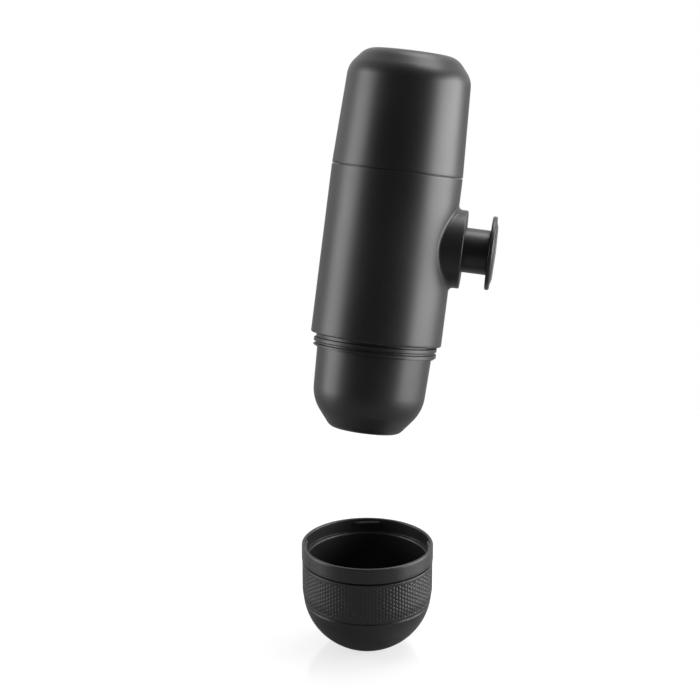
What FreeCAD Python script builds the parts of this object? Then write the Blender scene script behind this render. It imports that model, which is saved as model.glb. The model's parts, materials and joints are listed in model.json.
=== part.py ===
"""Handheld manual espresso maker with its cup, in millimetres.

The maker is drawn upright about its own long axis Z: water tank up, outlet down, pump knob along +X, and
the middle of the barrel, where the hand holds it, at the origin. It is then leaned as it is held in use.
The cup is drawn with its rim at the origin and stands level below the outlet.
"""

import FreeCAD
import Part

import math
import os

from FreeCAD import Placement, Rotation, Vector

# How the maker is held: its turn about itself, its lean to the right and its lean away, in degrees
TURN_TO_FRONT = 5.0
LEAN_RIGHT = 7.2
LEAN_BACK = 13.6

# Where the middle of the cup's rim stands, from the spout: to the right, towards the viewer and below
CUP_RIGHT_OF_SPOUT = 1.4
CUP_BEFORE_SPOUT = 14.1
CUP_BELOW_SPOUT = 47.25

# How far things come apart: rim above the spout with the cup raised, outlet head drop, and the basket's
# rise for each unit of that drop
CUP_RAISED_OVER_SPOUT = 5.0
OUTLET_DROP = 36.0
BASKET_LIFT_RATIO = 0.6

# Clearances: between fixed pieces, between a sliding or turning pair, and between pieces that come apart
FIT = 0.05
RUNNING = 0.08
LOOSE = 0.3

# How far a cutting shape runs past the face that it opens, and the turn of each ring of holes from the last
OVERCUT = 1.0
RING_STAGGER = 0.3

# Barrel, the casing that the hand holds
BARREL_RADIUS = 28.5
BARREL_LENGTH = 73.3
BARREL_WALL = 2.2
BARREL_EDGE = 0.5

# Boss on the barrel's side, which holds the pump's guide bush
PUMP_HEIGHT = 6.6
BOSS_RADIUS = 17.0
BOSS_PROUD = 4.3
BOSS_REACH = BARREL_RADIUS + BOSS_PROUD
BOSS_WALL = 2.6
BOSS_BLEND = 1.6
BOSS_EDGE = 0.8

# Water tank
TANK_LENGTH = 51.0
TANK_TAPER = 1.8
TANK_SIDE_LENGTH = 38.5
TANK_CORNER_RADIUS = 10.5
TANK_CROWN_SLOPE = 40.0
TANK_EDGE_RADIUS = 9.0
TANK_WALL = 3.2
TANK_MOUTH_DEPTH = 8.7
TANK_MOUTH_WALL = 3.0
TANK_SHOULDER = 1.3
SEAM_GAP = 0.45
SEAM_DEPTH = 1.0

# Deck under the tank, with the spigot that the tank screws onto
SPIGOT_RISE = 7.5
SPIGOT_WALL = 2.4
DECK_THICKNESS = 3.0
DECK_RECESS = 3.3
TANK_GASKET_WIDTH = 1.8
STRAINER_RADIUS = 7.0
STRAINER_THICKNESS = 0.6
STRAINER_HOLE = 0.6
STRAINER_HOLE_SPACING = 2.1
STRAINER_MARGIN = 1.5
STRAINER_FOOT_WALL = 0.8
VENT_PLACE_X = 11.0
VENT_CAP_RADIUS = 4.0
VENT_CAP_EDGE = 0.4
VENT_CAP_RISE = 0.7
VENT_STEM_RADIUS = 1.4
VENT_HOLE = 0.7
VENT_HOLE_CIRCLE = 2.6
VENT_BEAD_WIDTH = 0.8
VENT_BEAD_TAPER = 1.0
VENT_TIP_RADIUS = 0.84
VENT_TIP_LENGTH = 2.2

# Pump cylinder and its piston
STROKE = 10.6
CYLINDER_BORE = 8.0
CYLINDER_WALL = 3.5
CYLINDER_END_WALL = 2.0
PISTON_LENGTH = 7.0
PISTON_REST_FACE = 5.2
PISTON_GAP = 0.3
PISTON_RING_SECTION = 0.88
PISTON_RING_PLACES = (1.9, 5.1)
ROD_RADIUS = 3.6
ROD_STUB_RADIUS = 2.5
ROD_STUB_LENGTH = 4.2
GLAND_THREAD = 3.5
GLAND_FLANGE = 2.0
GLAND_STEP = 1.0

# Pump block posts and web
POST_RADIUS = 3.2
POST_INSET = 7.1
POST_CIRCLE = BARREL_RADIUS - BARREL_WALL - POST_INSET
POST_ANGLES = (75.0, 180.0, 285.0)
WEB_THICKNESS = 3.0
WEB_SHORT_OF_MOUTH = 0.5
VALVE_COLUMN_RADIUS = 7.0

# Inlet and outlet valves, one ball and one spring each
VALVE_FROM_POST = 9.6
VALVE_PLACE_X = VALVE_FROM_POST - POST_CIRCLE
VALVE_RADIUS = 4.5
VALVE_BORE = 2.9
VALVE_CAP = 3.0
VALVE_SEAT_RADIUS = 1.5
VALVE_PORT_RADIUS = 1.8
VALVE_FLOOR = 2.2
VALVE_LIFT = 1.2
BALL_RADIUS = 2.2
VALVE_SPRING_RADIUS = 2.25
VALVE_SPRING_WIRE = 0.25
VALVE_SPRING_TURNS = 5

# Knob: a hollow stem with a push disc, locked for travel by a lug behind the bush's lip
STEM_RADIUS = 9.7
STEM_WALL = 1.7
STEM_TAIL = 1.5
STEM_ROOT_FLARE = 0.6
DISC_RADIUS = 16.0
DISC_THICKNESS = 2.0
DISC_EDGE = 0.7
DISC_REBATE = 1.0
CAP_RADIUS = 13.6
CAP_EDGE = 0.3
CAP_RISE = 1.1
KNOB_WEB = 2.0
KNOB_WEB_DEPTH = 1.4
KNOB_POCKET_RADIUS = 6.4
KNOB_PIN_RADIUS = 3.0
LUG_HEIGHT = 1.1
LUG_WIDTH = 7.0
LUG_THICKNESS = 2.6
LUG_PLAY = 0.4
BUSH_LENGTH = 7.4
BUSH_LIP = 2.2
BUSH_CHAMFER = 0.4
NOTCH_OVERCUT = 1.0
STOP_RING_THICKNESS = 1.2
STOP_RING_HEIGHT = 1.6
STOP_RING_GROOVE = 0.8
STOP_RING_OPENING = 3.0
WIPER_WIDTH = 1.1
WIPER_DEPTH = 0.9
WIPER_INSET = 0.6

# Return spring round the rod
SPRING_RADIUS = 6.2
SPRING_WIRE = 0.65
SPRING_TURNS = 7

# Screws
SCREW_RADIUS = 1.25
SCREW_HEAD_RADIUS = 2.4
SCREW_HEAD_HEIGHT = 1.6
SCREW_LENGTH = 9.0
SCREW_SLOT_WIDTH = 0.8
SCREW_SLOT_DEPTH = 0.6
SCREW_SHORT_OF_HOLE = 1.0
KNOB_SCREW_HEAD_HEIGHT = 1.3
SCREEN_SCREW_HEAD_HEIGHT = 1.0
WASHER_RADIUS = 4.6
WASHER_THICKNESS = 0.6

# Brew head in the barrel's lower end, with the shower screen and gasket
CHAMBER_DEPTH = 18.65
CHAMBER_ROOF = 3.0
CHAMBER_SKIRT_RECESS = 0.8
CHAMBER_WALL = 1.9
BREW_GASKET_WIDTH = 4.8
SCREEN_INSIDE_GASKET = 1.0
SCREEN_BOSS_MARGIN = 1.0
SCREEN_THICKNESS = 0.6
SCREEN_STANDOFF = 0.9
SCREEN_RIM = 1.4
SCREEN_HOLE = 0.7
SCREEN_HOLE_SPACING = 3.6
SCREEN_MARGIN = 3.0
SCREEN_SCREW_COVER = 0.6
BREW_GASKET_HEIGHT = 3.0

# Filter basket
BASKET_DEPTH = 20.3
BASKET_WALL = 0.6
BASKET_FLANGE = 1.0
BASKET_FLANGE_OVERHANG = 2.6
BASKET_CORNER = 2.0
BASKET_HOLE = 0.55
BASKET_HOLE_SPACING = 3.5
BASKET_MARGIN = 4.0

# Outlet head: collar inside the barrel, grooved neck for the cup, and dome
NECK_HEIGHT = 5.5
NECK_STEP = 1.65
NECK_TOP_GAP = 0.35
NECK_GROOVE_DEPTH = 0.8
NECK_GROOVE_WIDTH = 0.7
NECK_EDGE = 0.2
COLLAR_WALL = 3.6
DOME_LENGTH = 34.6
DOME_SIDE_LENGTH = 16.4
DOME_STEP = 3.5
DOME_DRAFT = 0.8
DOME_CORNER_RADIUS = 18.0
DOME_SLOPE = 41.0
DOME_EDGE_RADIUS = 3.4
DOME_WALL = 3.0
NOZZLE_BORE = 1.6
NOZZLE_WALL = 1.0
NOZZLE_FLANGE = 5.5
NOZZLE_FLANGE_THICKNESS = 1.2
NOZZLE_DISH = 0.7
NOZZLE_INSET = 0.2

# Cup
CUP_PROUD = 0.25
CUP_RADIUS = BARREL_RADIUS + CUP_PROUD
CUP_RIM_BAND = 6.9
CUP_EDGE = 0.3
CUP_RIM_WALL = 1.4
CUP_MOUTH_DEPTH = 6.0
CUP_LEDGE_EDGE = 0.4
CUP_WALL = 2.0
CUP_BOWL_STEP = 0.95
CUP_BOWL_RADIUS = CUP_RADIUS - CUP_BOWL_STEP
CUP_BOWL_CENTRE = 21.35
CUP_FOOT_RADIUS = 11.0
CUP_FLOOR = 2.5
CUP_FOOT_HOLLOW = 0.6
CUP_FOOT_RING = 3.0
CUP_FOOT_FLARE = 0.6
GRIP_LENGTH = 19.6
GRIP_STEP = 0.2
GRIP_RADIUS = CUP_RADIUS - GRIP_STEP
GRIP_THICKNESS = 1.1
GRIP_GAP = 0.25
GRIP_CHAMFER = 0.7
GRIP_EDGE = 0.2

X_AXIS = Vector(1, 0, 0)
Z_AXIS = Vector(0, 0, 1)
ORIGIN = Vector(0, 0, 0)

HELD = Placement(
    ORIGIN,
    Rotation(X_AXIS, -LEAN_BACK) * Rotation(Vector(0, 1, 0), LEAN_RIGHT) * Rotation(Z_AXIS, -TURN_TO_FRONT),
)

# Heights that several pieces share
barrel_top = BARREL_LENGTH / 2
barrel_bottom = -BARREL_LENGTH / 2
barrel_bore = BARREL_RADIUS - BARREL_WALL
deck_top = barrel_top - DECK_RECESS
deck_underside = deck_top - DECK_THICKNESS
tank_base = barrel_top + SEAM_GAP
spigot_top = barrel_top + SPIGOT_RISE
tank_mouth_radius = BARREL_RADIUS - TANK_MOUTH_WALL
tank_bore = tank_mouth_radius - TANK_SHOULDER
spigot_radius = tank_mouth_radius - LOOSE
tank_shoulder_height = tank_base + TANK_MOUTH_DEPTH

roof_top = barrel_bottom + CHAMBER_DEPTH
roof_underside = roof_top - CHAMBER_ROOF
chamber_radius = barrel_bore - RUNNING
chamber_bore = chamber_radius - CHAMBER_WALL
skirt_end = barrel_bottom + CHAMBER_SKIRT_RECESS
gasket_outer = chamber_bore - LOOSE
gasket_inner = gasket_outer - BREW_GASKET_WIDTH
screen_radius = gasket_inner - SCREEN_INSIDE_GASKET
gasket_face = roof_underside - BREW_GASKET_HEIGHT
basket_top = gasket_face - RUNNING
collar_top = basket_top - BASKET_FLANGE - RUNNING
collar_radius = chamber_bore - LOOSE
collar_bore = collar_radius - COLLAR_WALL
basket_radius = collar_bore - LOOSE * 2
neck_radius = BARREL_RADIUS - NECK_STEP
dome_radius = BARREL_RADIUS - DOME_STEP
neck_top = barrel_bottom - NECK_TOP_GAP
neck_bottom = neck_top - NECK_HEIGHT
dome_bottom = neck_bottom - DOME_LENGTH
dome_floor = dome_bottom + DOME_WALL

spout = HELD.multVec(Vector(0, 0, dome_bottom))
cup_rim_place = spout + Vector(CUP_RIGHT_OF_SPOUT, -CUP_BEFORE_SPOUT, -CUP_BELOW_SPOUT)
CUP_STANDS = Placement(cup_rim_place, Rotation())

# Distances along the pump's axis, from the maker's axis
bush_inner_face = BOSS_REACH - BUSH_LENGTH
boss_bore = BOSS_RADIUS - BOSS_WALL
disc_back = BOSS_REACH + PISTON_GAP + STROKE
stop_ring_face = bush_inner_face - LOOSE - STOP_RING_THICKNESS
stem_end = stop_ring_face - STEM_TAIL
web_outer = disc_back - KNOB_WEB_DEPTH
web_inner = web_outer - KNOB_WEB
cylinder_mouth = PISTON_REST_FACE + PISTON_GAP + GLAND_THREAD
cylinder_end = PISTON_REST_FACE - PISTON_LENGTH - STROKE - PISTON_GAP * 2
gland_face = cylinder_mouth + GLAND_FLANGE
cylinder_radius = CYLINDER_BORE + CYLINDER_WALL


def closed_face(start, *steps):
    """A face in the XZ plane from (radius, height) points: a step of one point is a line, of two an arc."""
    edges = []
    here = Vector(start[0], 0, start[1])
    for step in list(steps) + [start]:
        if isinstance(step[0], tuple):
            middle = Vector(step[0][0], 0, step[0][1])
            there = Vector(step[1][0], 0, step[1][1])
            edges.append(Part.Arc(here, middle, there).toShape())
        else:
            there = Vector(step[0], 0, step[1])
            edges.append(Part.LineSegment(here, there).toShape())
        here = there
    return Part.Face(Part.Wire(edges))


def turned(start, *steps):
    """A solid turned about Z from its half outline."""
    return closed_face(start, *steps).revolve(ORIGIN, Z_AXIS, 360)


def ring(outer, inner, low, high):
    """A plain ring about Z."""
    return turned((inner, low), (outer, low), (outer, high), (inner, high))


def rod(radius, low, high, x=0.0, y=0.0):
    """A plain round bar along Z."""
    return Part.makeCylinder(radius, high - low, Vector(x, y, low))


def bar_x(radius, near, far):
    """A plain round bar along the pump's axis, between two distances from the maker's axis."""
    return Part.makeCylinder(radius, far - near, Vector(near, 0, PUMP_HEIGHT), X_AXIS)


def turned_x(start, *steps):
    """A solid turned about the pump's axis, from (radius, distance) points."""
    solid = turned(start, *steps)
    solid.Placement = Placement(Vector(0, 0, PUMP_HEIGHT), Rotation(Vector(0, 1, 0), 90))
    return solid


def on_circle(count, radius, start=0.0):
    """Points evenly spaced on a circle about Z."""
    step = 2 * math.pi / count
    angles = [start + i * step for i in range(count)]
    return [Vector(radius * math.cos(angle), radius * math.sin(angle), 0) for angle in angles]


def hole_field(radius, spacing, centre_free=0.0):
    """Rings of evenly spaced hole places out to a radius, leaving the middle free."""
    places = [] if centre_free else [ORIGIN]
    ring_number = 1
    while ring_number * spacing <= radius:
        if ring_number * spacing > centre_free:
            places += on_circle(6 * ring_number, ring_number * spacing, ring_number * RING_STAGGER)
        ring_number += 1
    return places


def arc_point(centre, radius, angle):
    """A (radius, height) point on an arc, with the angle in degrees above the outward direction."""
    turn = math.radians(angle)
    return (centre[0] + radius * math.cos(turn), centre[1] + radius * math.sin(turn))


def low_dome(radius, edge_height, rise):
    """Step along a shallow round top, from its edge to its middle on the axis."""
    sphere = (radius**2 + rise**2) / (2 * rise)
    half = radius / 2
    drop = sphere - math.sqrt(sphere**2 - half**2)
    return ((half, edge_height + rise - drop), (0, edge_height + rise))


def crown(side_radius, side_height, end_height, corner, slope, edge, inset=0.0):
    """Outline of a closed end, as a start point and its steps: corner, cone and round edge up to its flat.

    The corner starts at side_radius and side_height, the cone leans by slope degrees, and the flat lies at
    end_height, above or below the side. Inset gives the same outline inside a wall.
    """
    up = 1 if end_height > side_height else -1
    centre = (side_radius - corner, side_height)
    cone_start = arc_point(centre, corner, up * slope)
    edge_height = end_height - up * edge
    cone_end_height = edge_height + up * edge * math.sin(math.radians(slope))
    cone_end_radius = cone_start[0] - abs(cone_end_height - cone_start[1]) * math.tan(math.radians(slope))
    edge_centre = (cone_end_radius - edge * math.cos(math.radians(slope)), edge_height)
    start = arc_point(centre, corner - inset, 0)
    edge_middle = arc_point(edge_centre, edge - inset, up * (slope + 90) / 2)
    steps = [
        (arc_point(centre, corner - inset, up * slope / 2), arc_point(centre, corner - inset, up * slope)),
        arc_point(edge_centre, edge - inset, up * slope),
        (edge_middle, arc_point(edge_centre, edge - inset, up * 90)),
        (0, end_height - up * inset),
    ]
    return start, steps


def backwards(start, steps):
    """The same outline from its end to its start, as a start point and its steps."""
    points = [start] + [step[1] if isinstance(step[0], tuple) else step for step in steps]
    turned_round = []
    for step, goal in zip(reversed(steps), reversed(points[:-1])):
        turned_round.append((step[0], goal) if isinstance(step[0], tuple) else goal)
    return points[-1], turned_round


def arc_between(start, direction, end):
    """The circular arc that leaves start along direction and ends at end."""
    chord = end - start
    inward = direction.cross(chord).cross(direction)
    inward.normalize()
    radius = chord.dot(chord) / (2 * chord.dot(inward))
    centre = start + inward * radius
    outward = (start + end) * 0.5 - centre
    outward.normalize()
    return Part.Arc(start, centre + outward * radius, end).toShape()


def two_arcs(start, start_direction, end, end_direction):
    """Two arcs that meet smoothly, with the given directions at both ends."""
    chord = end - start
    both = start_direction + end_direction
    square = both.dot(both) - 4
    half = chord.dot(both)
    reach = (half - math.sqrt(half**2 - square * chord.dot(chord))) / square
    near = start + start_direction * reach
    far = end - end_direction * reach
    meeting = (near + far) * 0.5
    along = (far - near) * (1 / (far - near).Length)
    return [arc_between(start, start_direction, meeting), arc_between(meeting, along, end)]


def coil_spring(radius, wire, turns, length):
    """A coil spring along Z from 0 to its length: round wire carried along quarter turns of a helix."""
    rise = (length - 2 * wire) / turns / (2 * math.pi)
    path = []
    for i in range(4 * turns):
        ends = []
        for turn in (i * math.pi / 2, (i + 1) * math.pi / 2):
            place = Vector(radius * math.cos(turn), radius * math.sin(turn), wire + rise * turn)
            direction = Vector(-radius * math.sin(turn), radius * math.cos(turn), rise)
            direction.normalize()
            ends += [place, direction]
        path += two_arcs(*ends)
    section = Part.Wire(Part.makeCircle(wire, Vector(radius, 0, wire), Vector(0, radius, rise)))
    return Part.Wire(path).makePipeShell([section], True, False)


def cheese_head_screw(x, y, head_face, direction):
    """A cheese-head screw: its head lies on head_face, and its shank points up for +1 or down for -1."""
    head = Part.makeCylinder(SCREW_HEAD_RADIUS, SCREW_HEAD_HEIGHT)
    slot_corner = Vector(-SCREW_HEAD_RADIUS, -SCREW_SLOT_WIDTH / 2, 0)
    head = head.cut(Part.makeBox(2 * SCREW_HEAD_RADIUS, SCREW_SLOT_WIDTH, SCREW_SLOT_DEPTH, slot_corner))
    shank = Part.makeCylinder(SCREW_RADIUS, SCREW_LENGTH, Vector(0, 0, SCREW_HEAD_HEIGHT))
    screw = head.fuse(shank)
    screw.translate(Vector(0, 0, -SCREW_HEAD_HEIGHT))
    if direction < 0:
        screw.rotate(ORIGIN, X_AXIS, 180)
    screw.translate(Vector(x, y, head_face))
    return screw


def post_places():
    """The middles of the pump block's three screw posts."""
    return [
        Vector(POST_CIRCLE * math.cos(math.radians(a)), POST_CIRCLE * math.sin(math.radians(a)), 0)
        for a in POST_ANGLES
    ]


def barrel_shell():
    """Casing tube with the pump's boss blended into its side, open at both ends."""
    outside = rod(BARREL_RADIUS, barrel_bottom, barrel_top)
    boss = bar_x(BOSS_RADIUS, 0, BOSS_REACH)
    body = outside.fuse(boss).removeSplitter()
    boxes = [(edge, edge.BoundBox) for edge in body.Edges if edge.BoundBox.XMin > 0]
    join = [e for e, box in boxes if box.XMax < BOSS_REACH - FIT and box.YLength > BOSS_BLEND]
    body = body.makeFillet(BOSS_BLEND, join)
    boxes = [(edge, edge.BoundBox) for edge in body.Edges]
    rim = [e for e, box in boxes if abs(box.XMin - BOSS_REACH) < FIT and box.XLength < FIT]
    body = body.makeFillet(BOSS_EDGE, rim)
    boxes = [(edge, edge.BoundBox) for edge in body.Edges]
    ends = [e for e, box in boxes if abs(abs(box.ZMin) - barrel_top) < FIT and box.ZLength < FIT]
    body = body.makeChamfer(BARREL_EDGE, ends)
    body = body.cut(rod(barrel_bore, barrel_bottom - OVERCUT, barrel_top + OVERCUT))
    return body.cut(bar_x(boss_bore, 0, BOSS_REACH + OVERCUT))


def tank_shell():
    """Bottle-like tank: tapered side, broad crown with a flat end, screw mouth and inner shoulder."""
    form = (BARREL_RADIUS - TANK_TAPER, tank_base + TANK_SIDE_LENGTH, tank_base + TANK_LENGTH)
    form += (TANK_CORNER_RADIUS, TANK_CROWN_SLOPE, TANK_EDGE_RADIUS)
    side_top, outer_steps = crown(*form)
    inner_top, inner_steps = backwards(*crown(*form, TANK_WALL))
    return turned(
        (tank_mouth_radius, barrel_top + RUNNING),
        (BARREL_RADIUS - SEAM_DEPTH, barrel_top + RUNNING),
        (BARREL_RADIUS - SEAM_DEPTH, tank_base),
        (BARREL_RADIUS - BARREL_EDGE, tank_base),
        (BARREL_RADIUS, tank_base + BARREL_EDGE),
        side_top,
        *outer_steps,
        inner_top,
        *inner_steps,
        (tank_bore, tank_shoulder_height),
        (tank_mouth_radius, tank_shoulder_height),
    )


def tank_gasket():
    """Flat silicone ring between the spigot's rim and the tank's shoulder."""
    outer = tank_mouth_radius - RUNNING
    return ring(outer, outer - TANK_GASKET_WIDTH, spigot_top + FIT, tank_shoulder_height - FIT)


def tank_deck():
    """Deck across the barrel's upper end, with the tank's spigot, the water inlet and the air vent."""
    deck = turned(
        (0, deck_underside),
        (barrel_bore - FIT, deck_underside),
        (barrel_bore - FIT, deck_top),
        (spigot_radius, deck_top),
        (spigot_radius, spigot_top),
        (spigot_radius - SPIGOT_WALL, spigot_top),
        (spigot_radius - SPIGOT_WALL, deck_top),
        (0, deck_top),
    )
    deck = deck.cut(rod(VALVE_PORT_RADIUS, deck_underside - OVERCUT, deck_top + OVERCUT, VALVE_PLACE_X))
    recess = rod(STRAINER_RADIUS + FIT, deck_top - STRAINER_THICKNESS * 2, deck_top + OVERCUT, VALVE_PLACE_X)
    deck = deck.cut(recess)
    deck = deck.cut(rod(VENT_STEM_RADIUS + FIT, deck_underside - OVERCUT, deck_top + OVERCUT, VENT_PLACE_X))
    low, high = deck_underside - OVERCUT, deck_top + OVERCUT
    for place in on_circle(4, VENT_HOLE_CIRCLE, math.pi / 4):
        deck = deck.cut(rod(VENT_HOLE, low, high, VENT_PLACE_X + place.x, place.y))
    head_face = deck_top - SCREW_HEAD_HEIGHT
    for place in post_places():
        deck = deck.cut(rod(SCREW_RADIUS + FIT, low, high, place.x, place.y))
        deck = deck.cut(rod(SCREW_HEAD_RADIUS + RUNNING, head_face, high, place.x, place.y))
    return deck


def inlet_strainer():
    """Perforated steel disc over the water inlet."""
    low = deck_top - STRAINER_THICKNESS
    disc = rod(STRAINER_RADIUS, low, deck_top)
    for place in hole_field(STRAINER_RADIUS - STRAINER_MARGIN, STRAINER_HOLE_SPACING):
        disc = disc.cut(rod(STRAINER_HOLE, low - OVERCUT, deck_top + OVERCUT, place.x, place.y))
    foot = ring(STRAINER_RADIUS, STRAINER_RADIUS - STRAINER_FOOT_WALL, low - STRAINER_THICKNESS, low)
    disc = disc.fuse(foot)
    disc.translate(Vector(VALVE_PLACE_X, 0, 0))
    return disc


def vent_valve():
    """Silicone umbrella that lets air into the tank: a thin cap on a stem with a snap bead."""
    bead = VENT_STEM_RADIUS + VENT_BEAD_WIDTH
    valve = turned(
        (0, deck_underside - VENT_TIP_LENGTH),
        (VENT_TIP_RADIUS, deck_underside - VENT_TIP_LENGTH),
        (bead, deck_underside - VENT_BEAD_TAPER),
        (bead, deck_underside - FIT),
        (VENT_STEM_RADIUS, deck_underside - FIT),
        (VENT_STEM_RADIUS, deck_top + FIT),
        (VENT_CAP_RADIUS, deck_top + FIT),
        (VENT_CAP_RADIUS, deck_top + VENT_CAP_EDGE),
        low_dome(VENT_CAP_RADIUS, deck_top + VENT_CAP_EDGE, VENT_CAP_RISE),
    )
    valve.translate(Vector(VENT_PLACE_X, 0, 0))
    return valve


def valve_pockets():
    """Floor and top heights of the inlet valve's pocket and of the outlet valve's."""
    inlet_floor = PUMP_HEIGHT + CYLINDER_BORE + VALVE_FLOOR
    outlet_top = PUMP_HEIGHT - CYLINDER_BORE - VALVE_FLOOR
    return {"inlet": (inlet_floor, deck_underside), "outlet": (roof_top, outlet_top)}


def pump_block():
    """One moulding: the pump cylinder, the column that holds both valves, and three screw posts on a web."""
    cylinder = bar_x(cylinder_radius, cylinder_end - CYLINDER_END_WALL, cylinder_mouth)
    column = rod(VALVE_COLUMN_RADIUS, roof_top, deck_underside, VALVE_PLACE_X)
    half_web = POST_CIRCLE * math.sin(math.radians(POST_ANGLES[0]))
    web_near = -POST_CIRCLE
    web = Part.makeBox(
        cylinder_mouth - WEB_SHORT_OF_MOUTH - web_near,
        2 * half_web,
        WEB_THICKNESS,
        Vector(web_near, -half_web, PUMP_HEIGHT - WEB_THICKNESS / 2),
    )
    web = web.common(rod(barrel_bore - LOOSE, barrel_bottom, barrel_top))
    block = cylinder.fuse([column, web])
    for place in post_places():
        block = block.fuse(rod(POST_RADIUS, roof_top, deck_underside, place.x, place.y))
    block = block.cut(bar_x(CYLINDER_BORE, cylinder_end, cylinder_mouth + OVERCUT))
    for low, high in valve_pockets().values():
        block = block.cut(rod(VALVE_RADIUS, low, high, VALVE_PLACE_X))
    outlet_top = valve_pockets()["outlet"][1]
    block = block.cut(rod(VALVE_PORT_RADIUS, outlet_top - OVERCUT, deck_underside - OVERCUT, VALVE_PLACE_X))
    low, high = roof_top - OVERCUT, deck_underside + OVERCUT
    for place in post_places():
        block = block.cut(rod(SCREW_RADIUS + FIT, low, high, place.x, place.y))
    return block.removeSplitter()


def valve_cartridge(low, high):
    """A sleeve with its seat at the top: water pushes the ball down off the seat."""
    sleeve = rod(VALVE_RADIUS - FIT, low, high)
    sleeve = sleeve.cut(rod(VALVE_BORE, low - OVERCUT, high - VALVE_CAP))
    sleeve = sleeve.cut(rod(VALVE_SEAT_RADIUS, low, high + OVERCUT))
    sleeve.translate(Vector(VALVE_PLACE_X, 0, 0))
    return sleeve


def ball_height(high):
    """Height of a valve ball's middle, just under the seat of a cartridge that ends at high."""
    return high - VALVE_CAP - math.sqrt(BALL_RADIUS**2 - VALVE_SEAT_RADIUS**2) - FIT


def valve_ball(high):
    return Part.makeSphere(BALL_RADIUS, Vector(VALVE_PLACE_X, 0, ball_height(high)))


def valve_spring(low, high):
    """Light spring from the pocket's floor to the underside of the ball."""
    inner = VALVE_SPRING_RADIUS - VALVE_SPRING_WIRE
    top = ball_height(high) - math.sqrt(BALL_RADIUS**2 - inner**2) - FIT
    spring = coil_spring(VALVE_SPRING_RADIUS, VALVE_SPRING_WIRE, VALVE_SPRING_TURNS, top - low - FIT)
    spring.translate(Vector(VALVE_PLACE_X, 0, low + FIT))
    return spring


def cylinder_gland():
    """Flanged plug in the cylinder's mouth, which guides the rod and seats the return spring."""
    inner_face = cylinder_mouth - GLAND_THREAD
    bore = ROD_RADIUS + RUNNING
    return turned_x(
        (bore, inner_face),
        (CYLINDER_BORE - FIT, inner_face),
        (CYLINDER_BORE - FIT, cylinder_mouth),
        (cylinder_radius - GLAND_STEP, cylinder_mouth),
        (cylinder_radius - GLAND_STEP, gland_face),
        (bore, gland_face),
    )


def piston_head():
    """Piston with two ring grooves and a socket for the rod."""
    start = PISTON_REST_FACE - PISTON_LENGTH
    outer = CYLINDER_BORE - LOOSE
    groove = CYLINDER_BORE - 2 * PISTON_RING_SECTION - 2 * FIT
    half = PISTON_RING_SECTION + FIT
    steps = [(outer, start)]
    for place in PISTON_RING_PLACES:
        low, high = start + place - half, start + place + half
        steps += [(outer, low), (groove, low), (groove, high), (outer, high)]
    steps += [
        (outer, PISTON_REST_FACE),
        (ROD_STUB_RADIUS + FIT, PISTON_REST_FACE),
        (ROD_STUB_RADIUS + FIT, PISTON_REST_FACE - ROD_STUB_LENGTH - FIT),
        (0, PISTON_REST_FACE - ROD_STUB_LENGTH - FIT),
    ]
    return turned_x((0, start), *steps)


def piston_rings():
    """Two sealing rings with bevelled corners in the piston's grooves."""
    outer = CYLINDER_BORE - FIT
    inner = outer - 2 * PISTON_RING_SECTION
    bevel = PISTON_RING_SECTION / 2
    rings = []
    for place in PISTON_RING_PLACES:
        low = PISTON_REST_FACE - PISTON_LENGTH + place - PISTON_RING_SECTION
        high = low + 2 * PISTON_RING_SECTION
        outline = [(inner + bevel, low), (outer - bevel, low)]
        outline += [(outer, low + bevel), (outer, high - bevel)]
        outline += [(outer - bevel, high), (inner + bevel, high)]
        outline += [(inner, high - bevel), (inner, low + bevel)]
        rings.append(turned_x(*outline))
    return rings


def plunger_rod():
    """Steel rod from the piston to the knob's web, turned down at both ends."""
    return turned_x(
        (0, PISTON_REST_FACE - ROD_STUB_LENGTH),
        (ROD_STUB_RADIUS, PISTON_REST_FACE - ROD_STUB_LENGTH),
        (ROD_STUB_RADIUS, PISTON_REST_FACE),
        (ROD_RADIUS, PISTON_REST_FACE),
        (ROD_RADIUS, web_inner - RUNNING),
        (KNOB_PIN_RADIUS, web_inner - RUNNING),
        (KNOB_PIN_RADIUS, web_outer + RUNNING),
        (SCREW_RADIUS, web_outer + RUNNING),
        (SCREW_RADIUS, web_outer - SCREW_LENGTH),
        (0, web_outer - SCREW_LENGTH),
    )


def knob_washer():
    """Washer that holds the knob on the rod's end and lets it turn."""
    near = web_outer + RUNNING
    return turned_x(
        (SCREW_RADIUS + FIT, near),
        (WASHER_RADIUS, near),
        (WASHER_RADIUS, near + WASHER_THICKNESS),
        (SCREW_RADIUS + FIT, near + WASHER_THICKNESS),
    )


def knob_screw():
    """Screw in the rod's end, under the knob's cap."""
    head = web_outer + RUNNING + WASHER_THICKNESS
    shank = SCREW_RADIUS - FIT
    return turned_x(
        (0, web_outer - SCREW_LENGTH + SCREW_SHORT_OF_HOLE),
        (shank, web_outer - SCREW_LENGTH + SCREW_SHORT_OF_HOLE),
        (shank, head),
        (SCREW_HEAD_RADIUS, head),
        (SCREW_HEAD_RADIUS, head + KNOB_SCREW_HEAD_HEIGHT),
        (0, head + KNOB_SCREW_HEAD_HEIGHT),
    )


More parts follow.
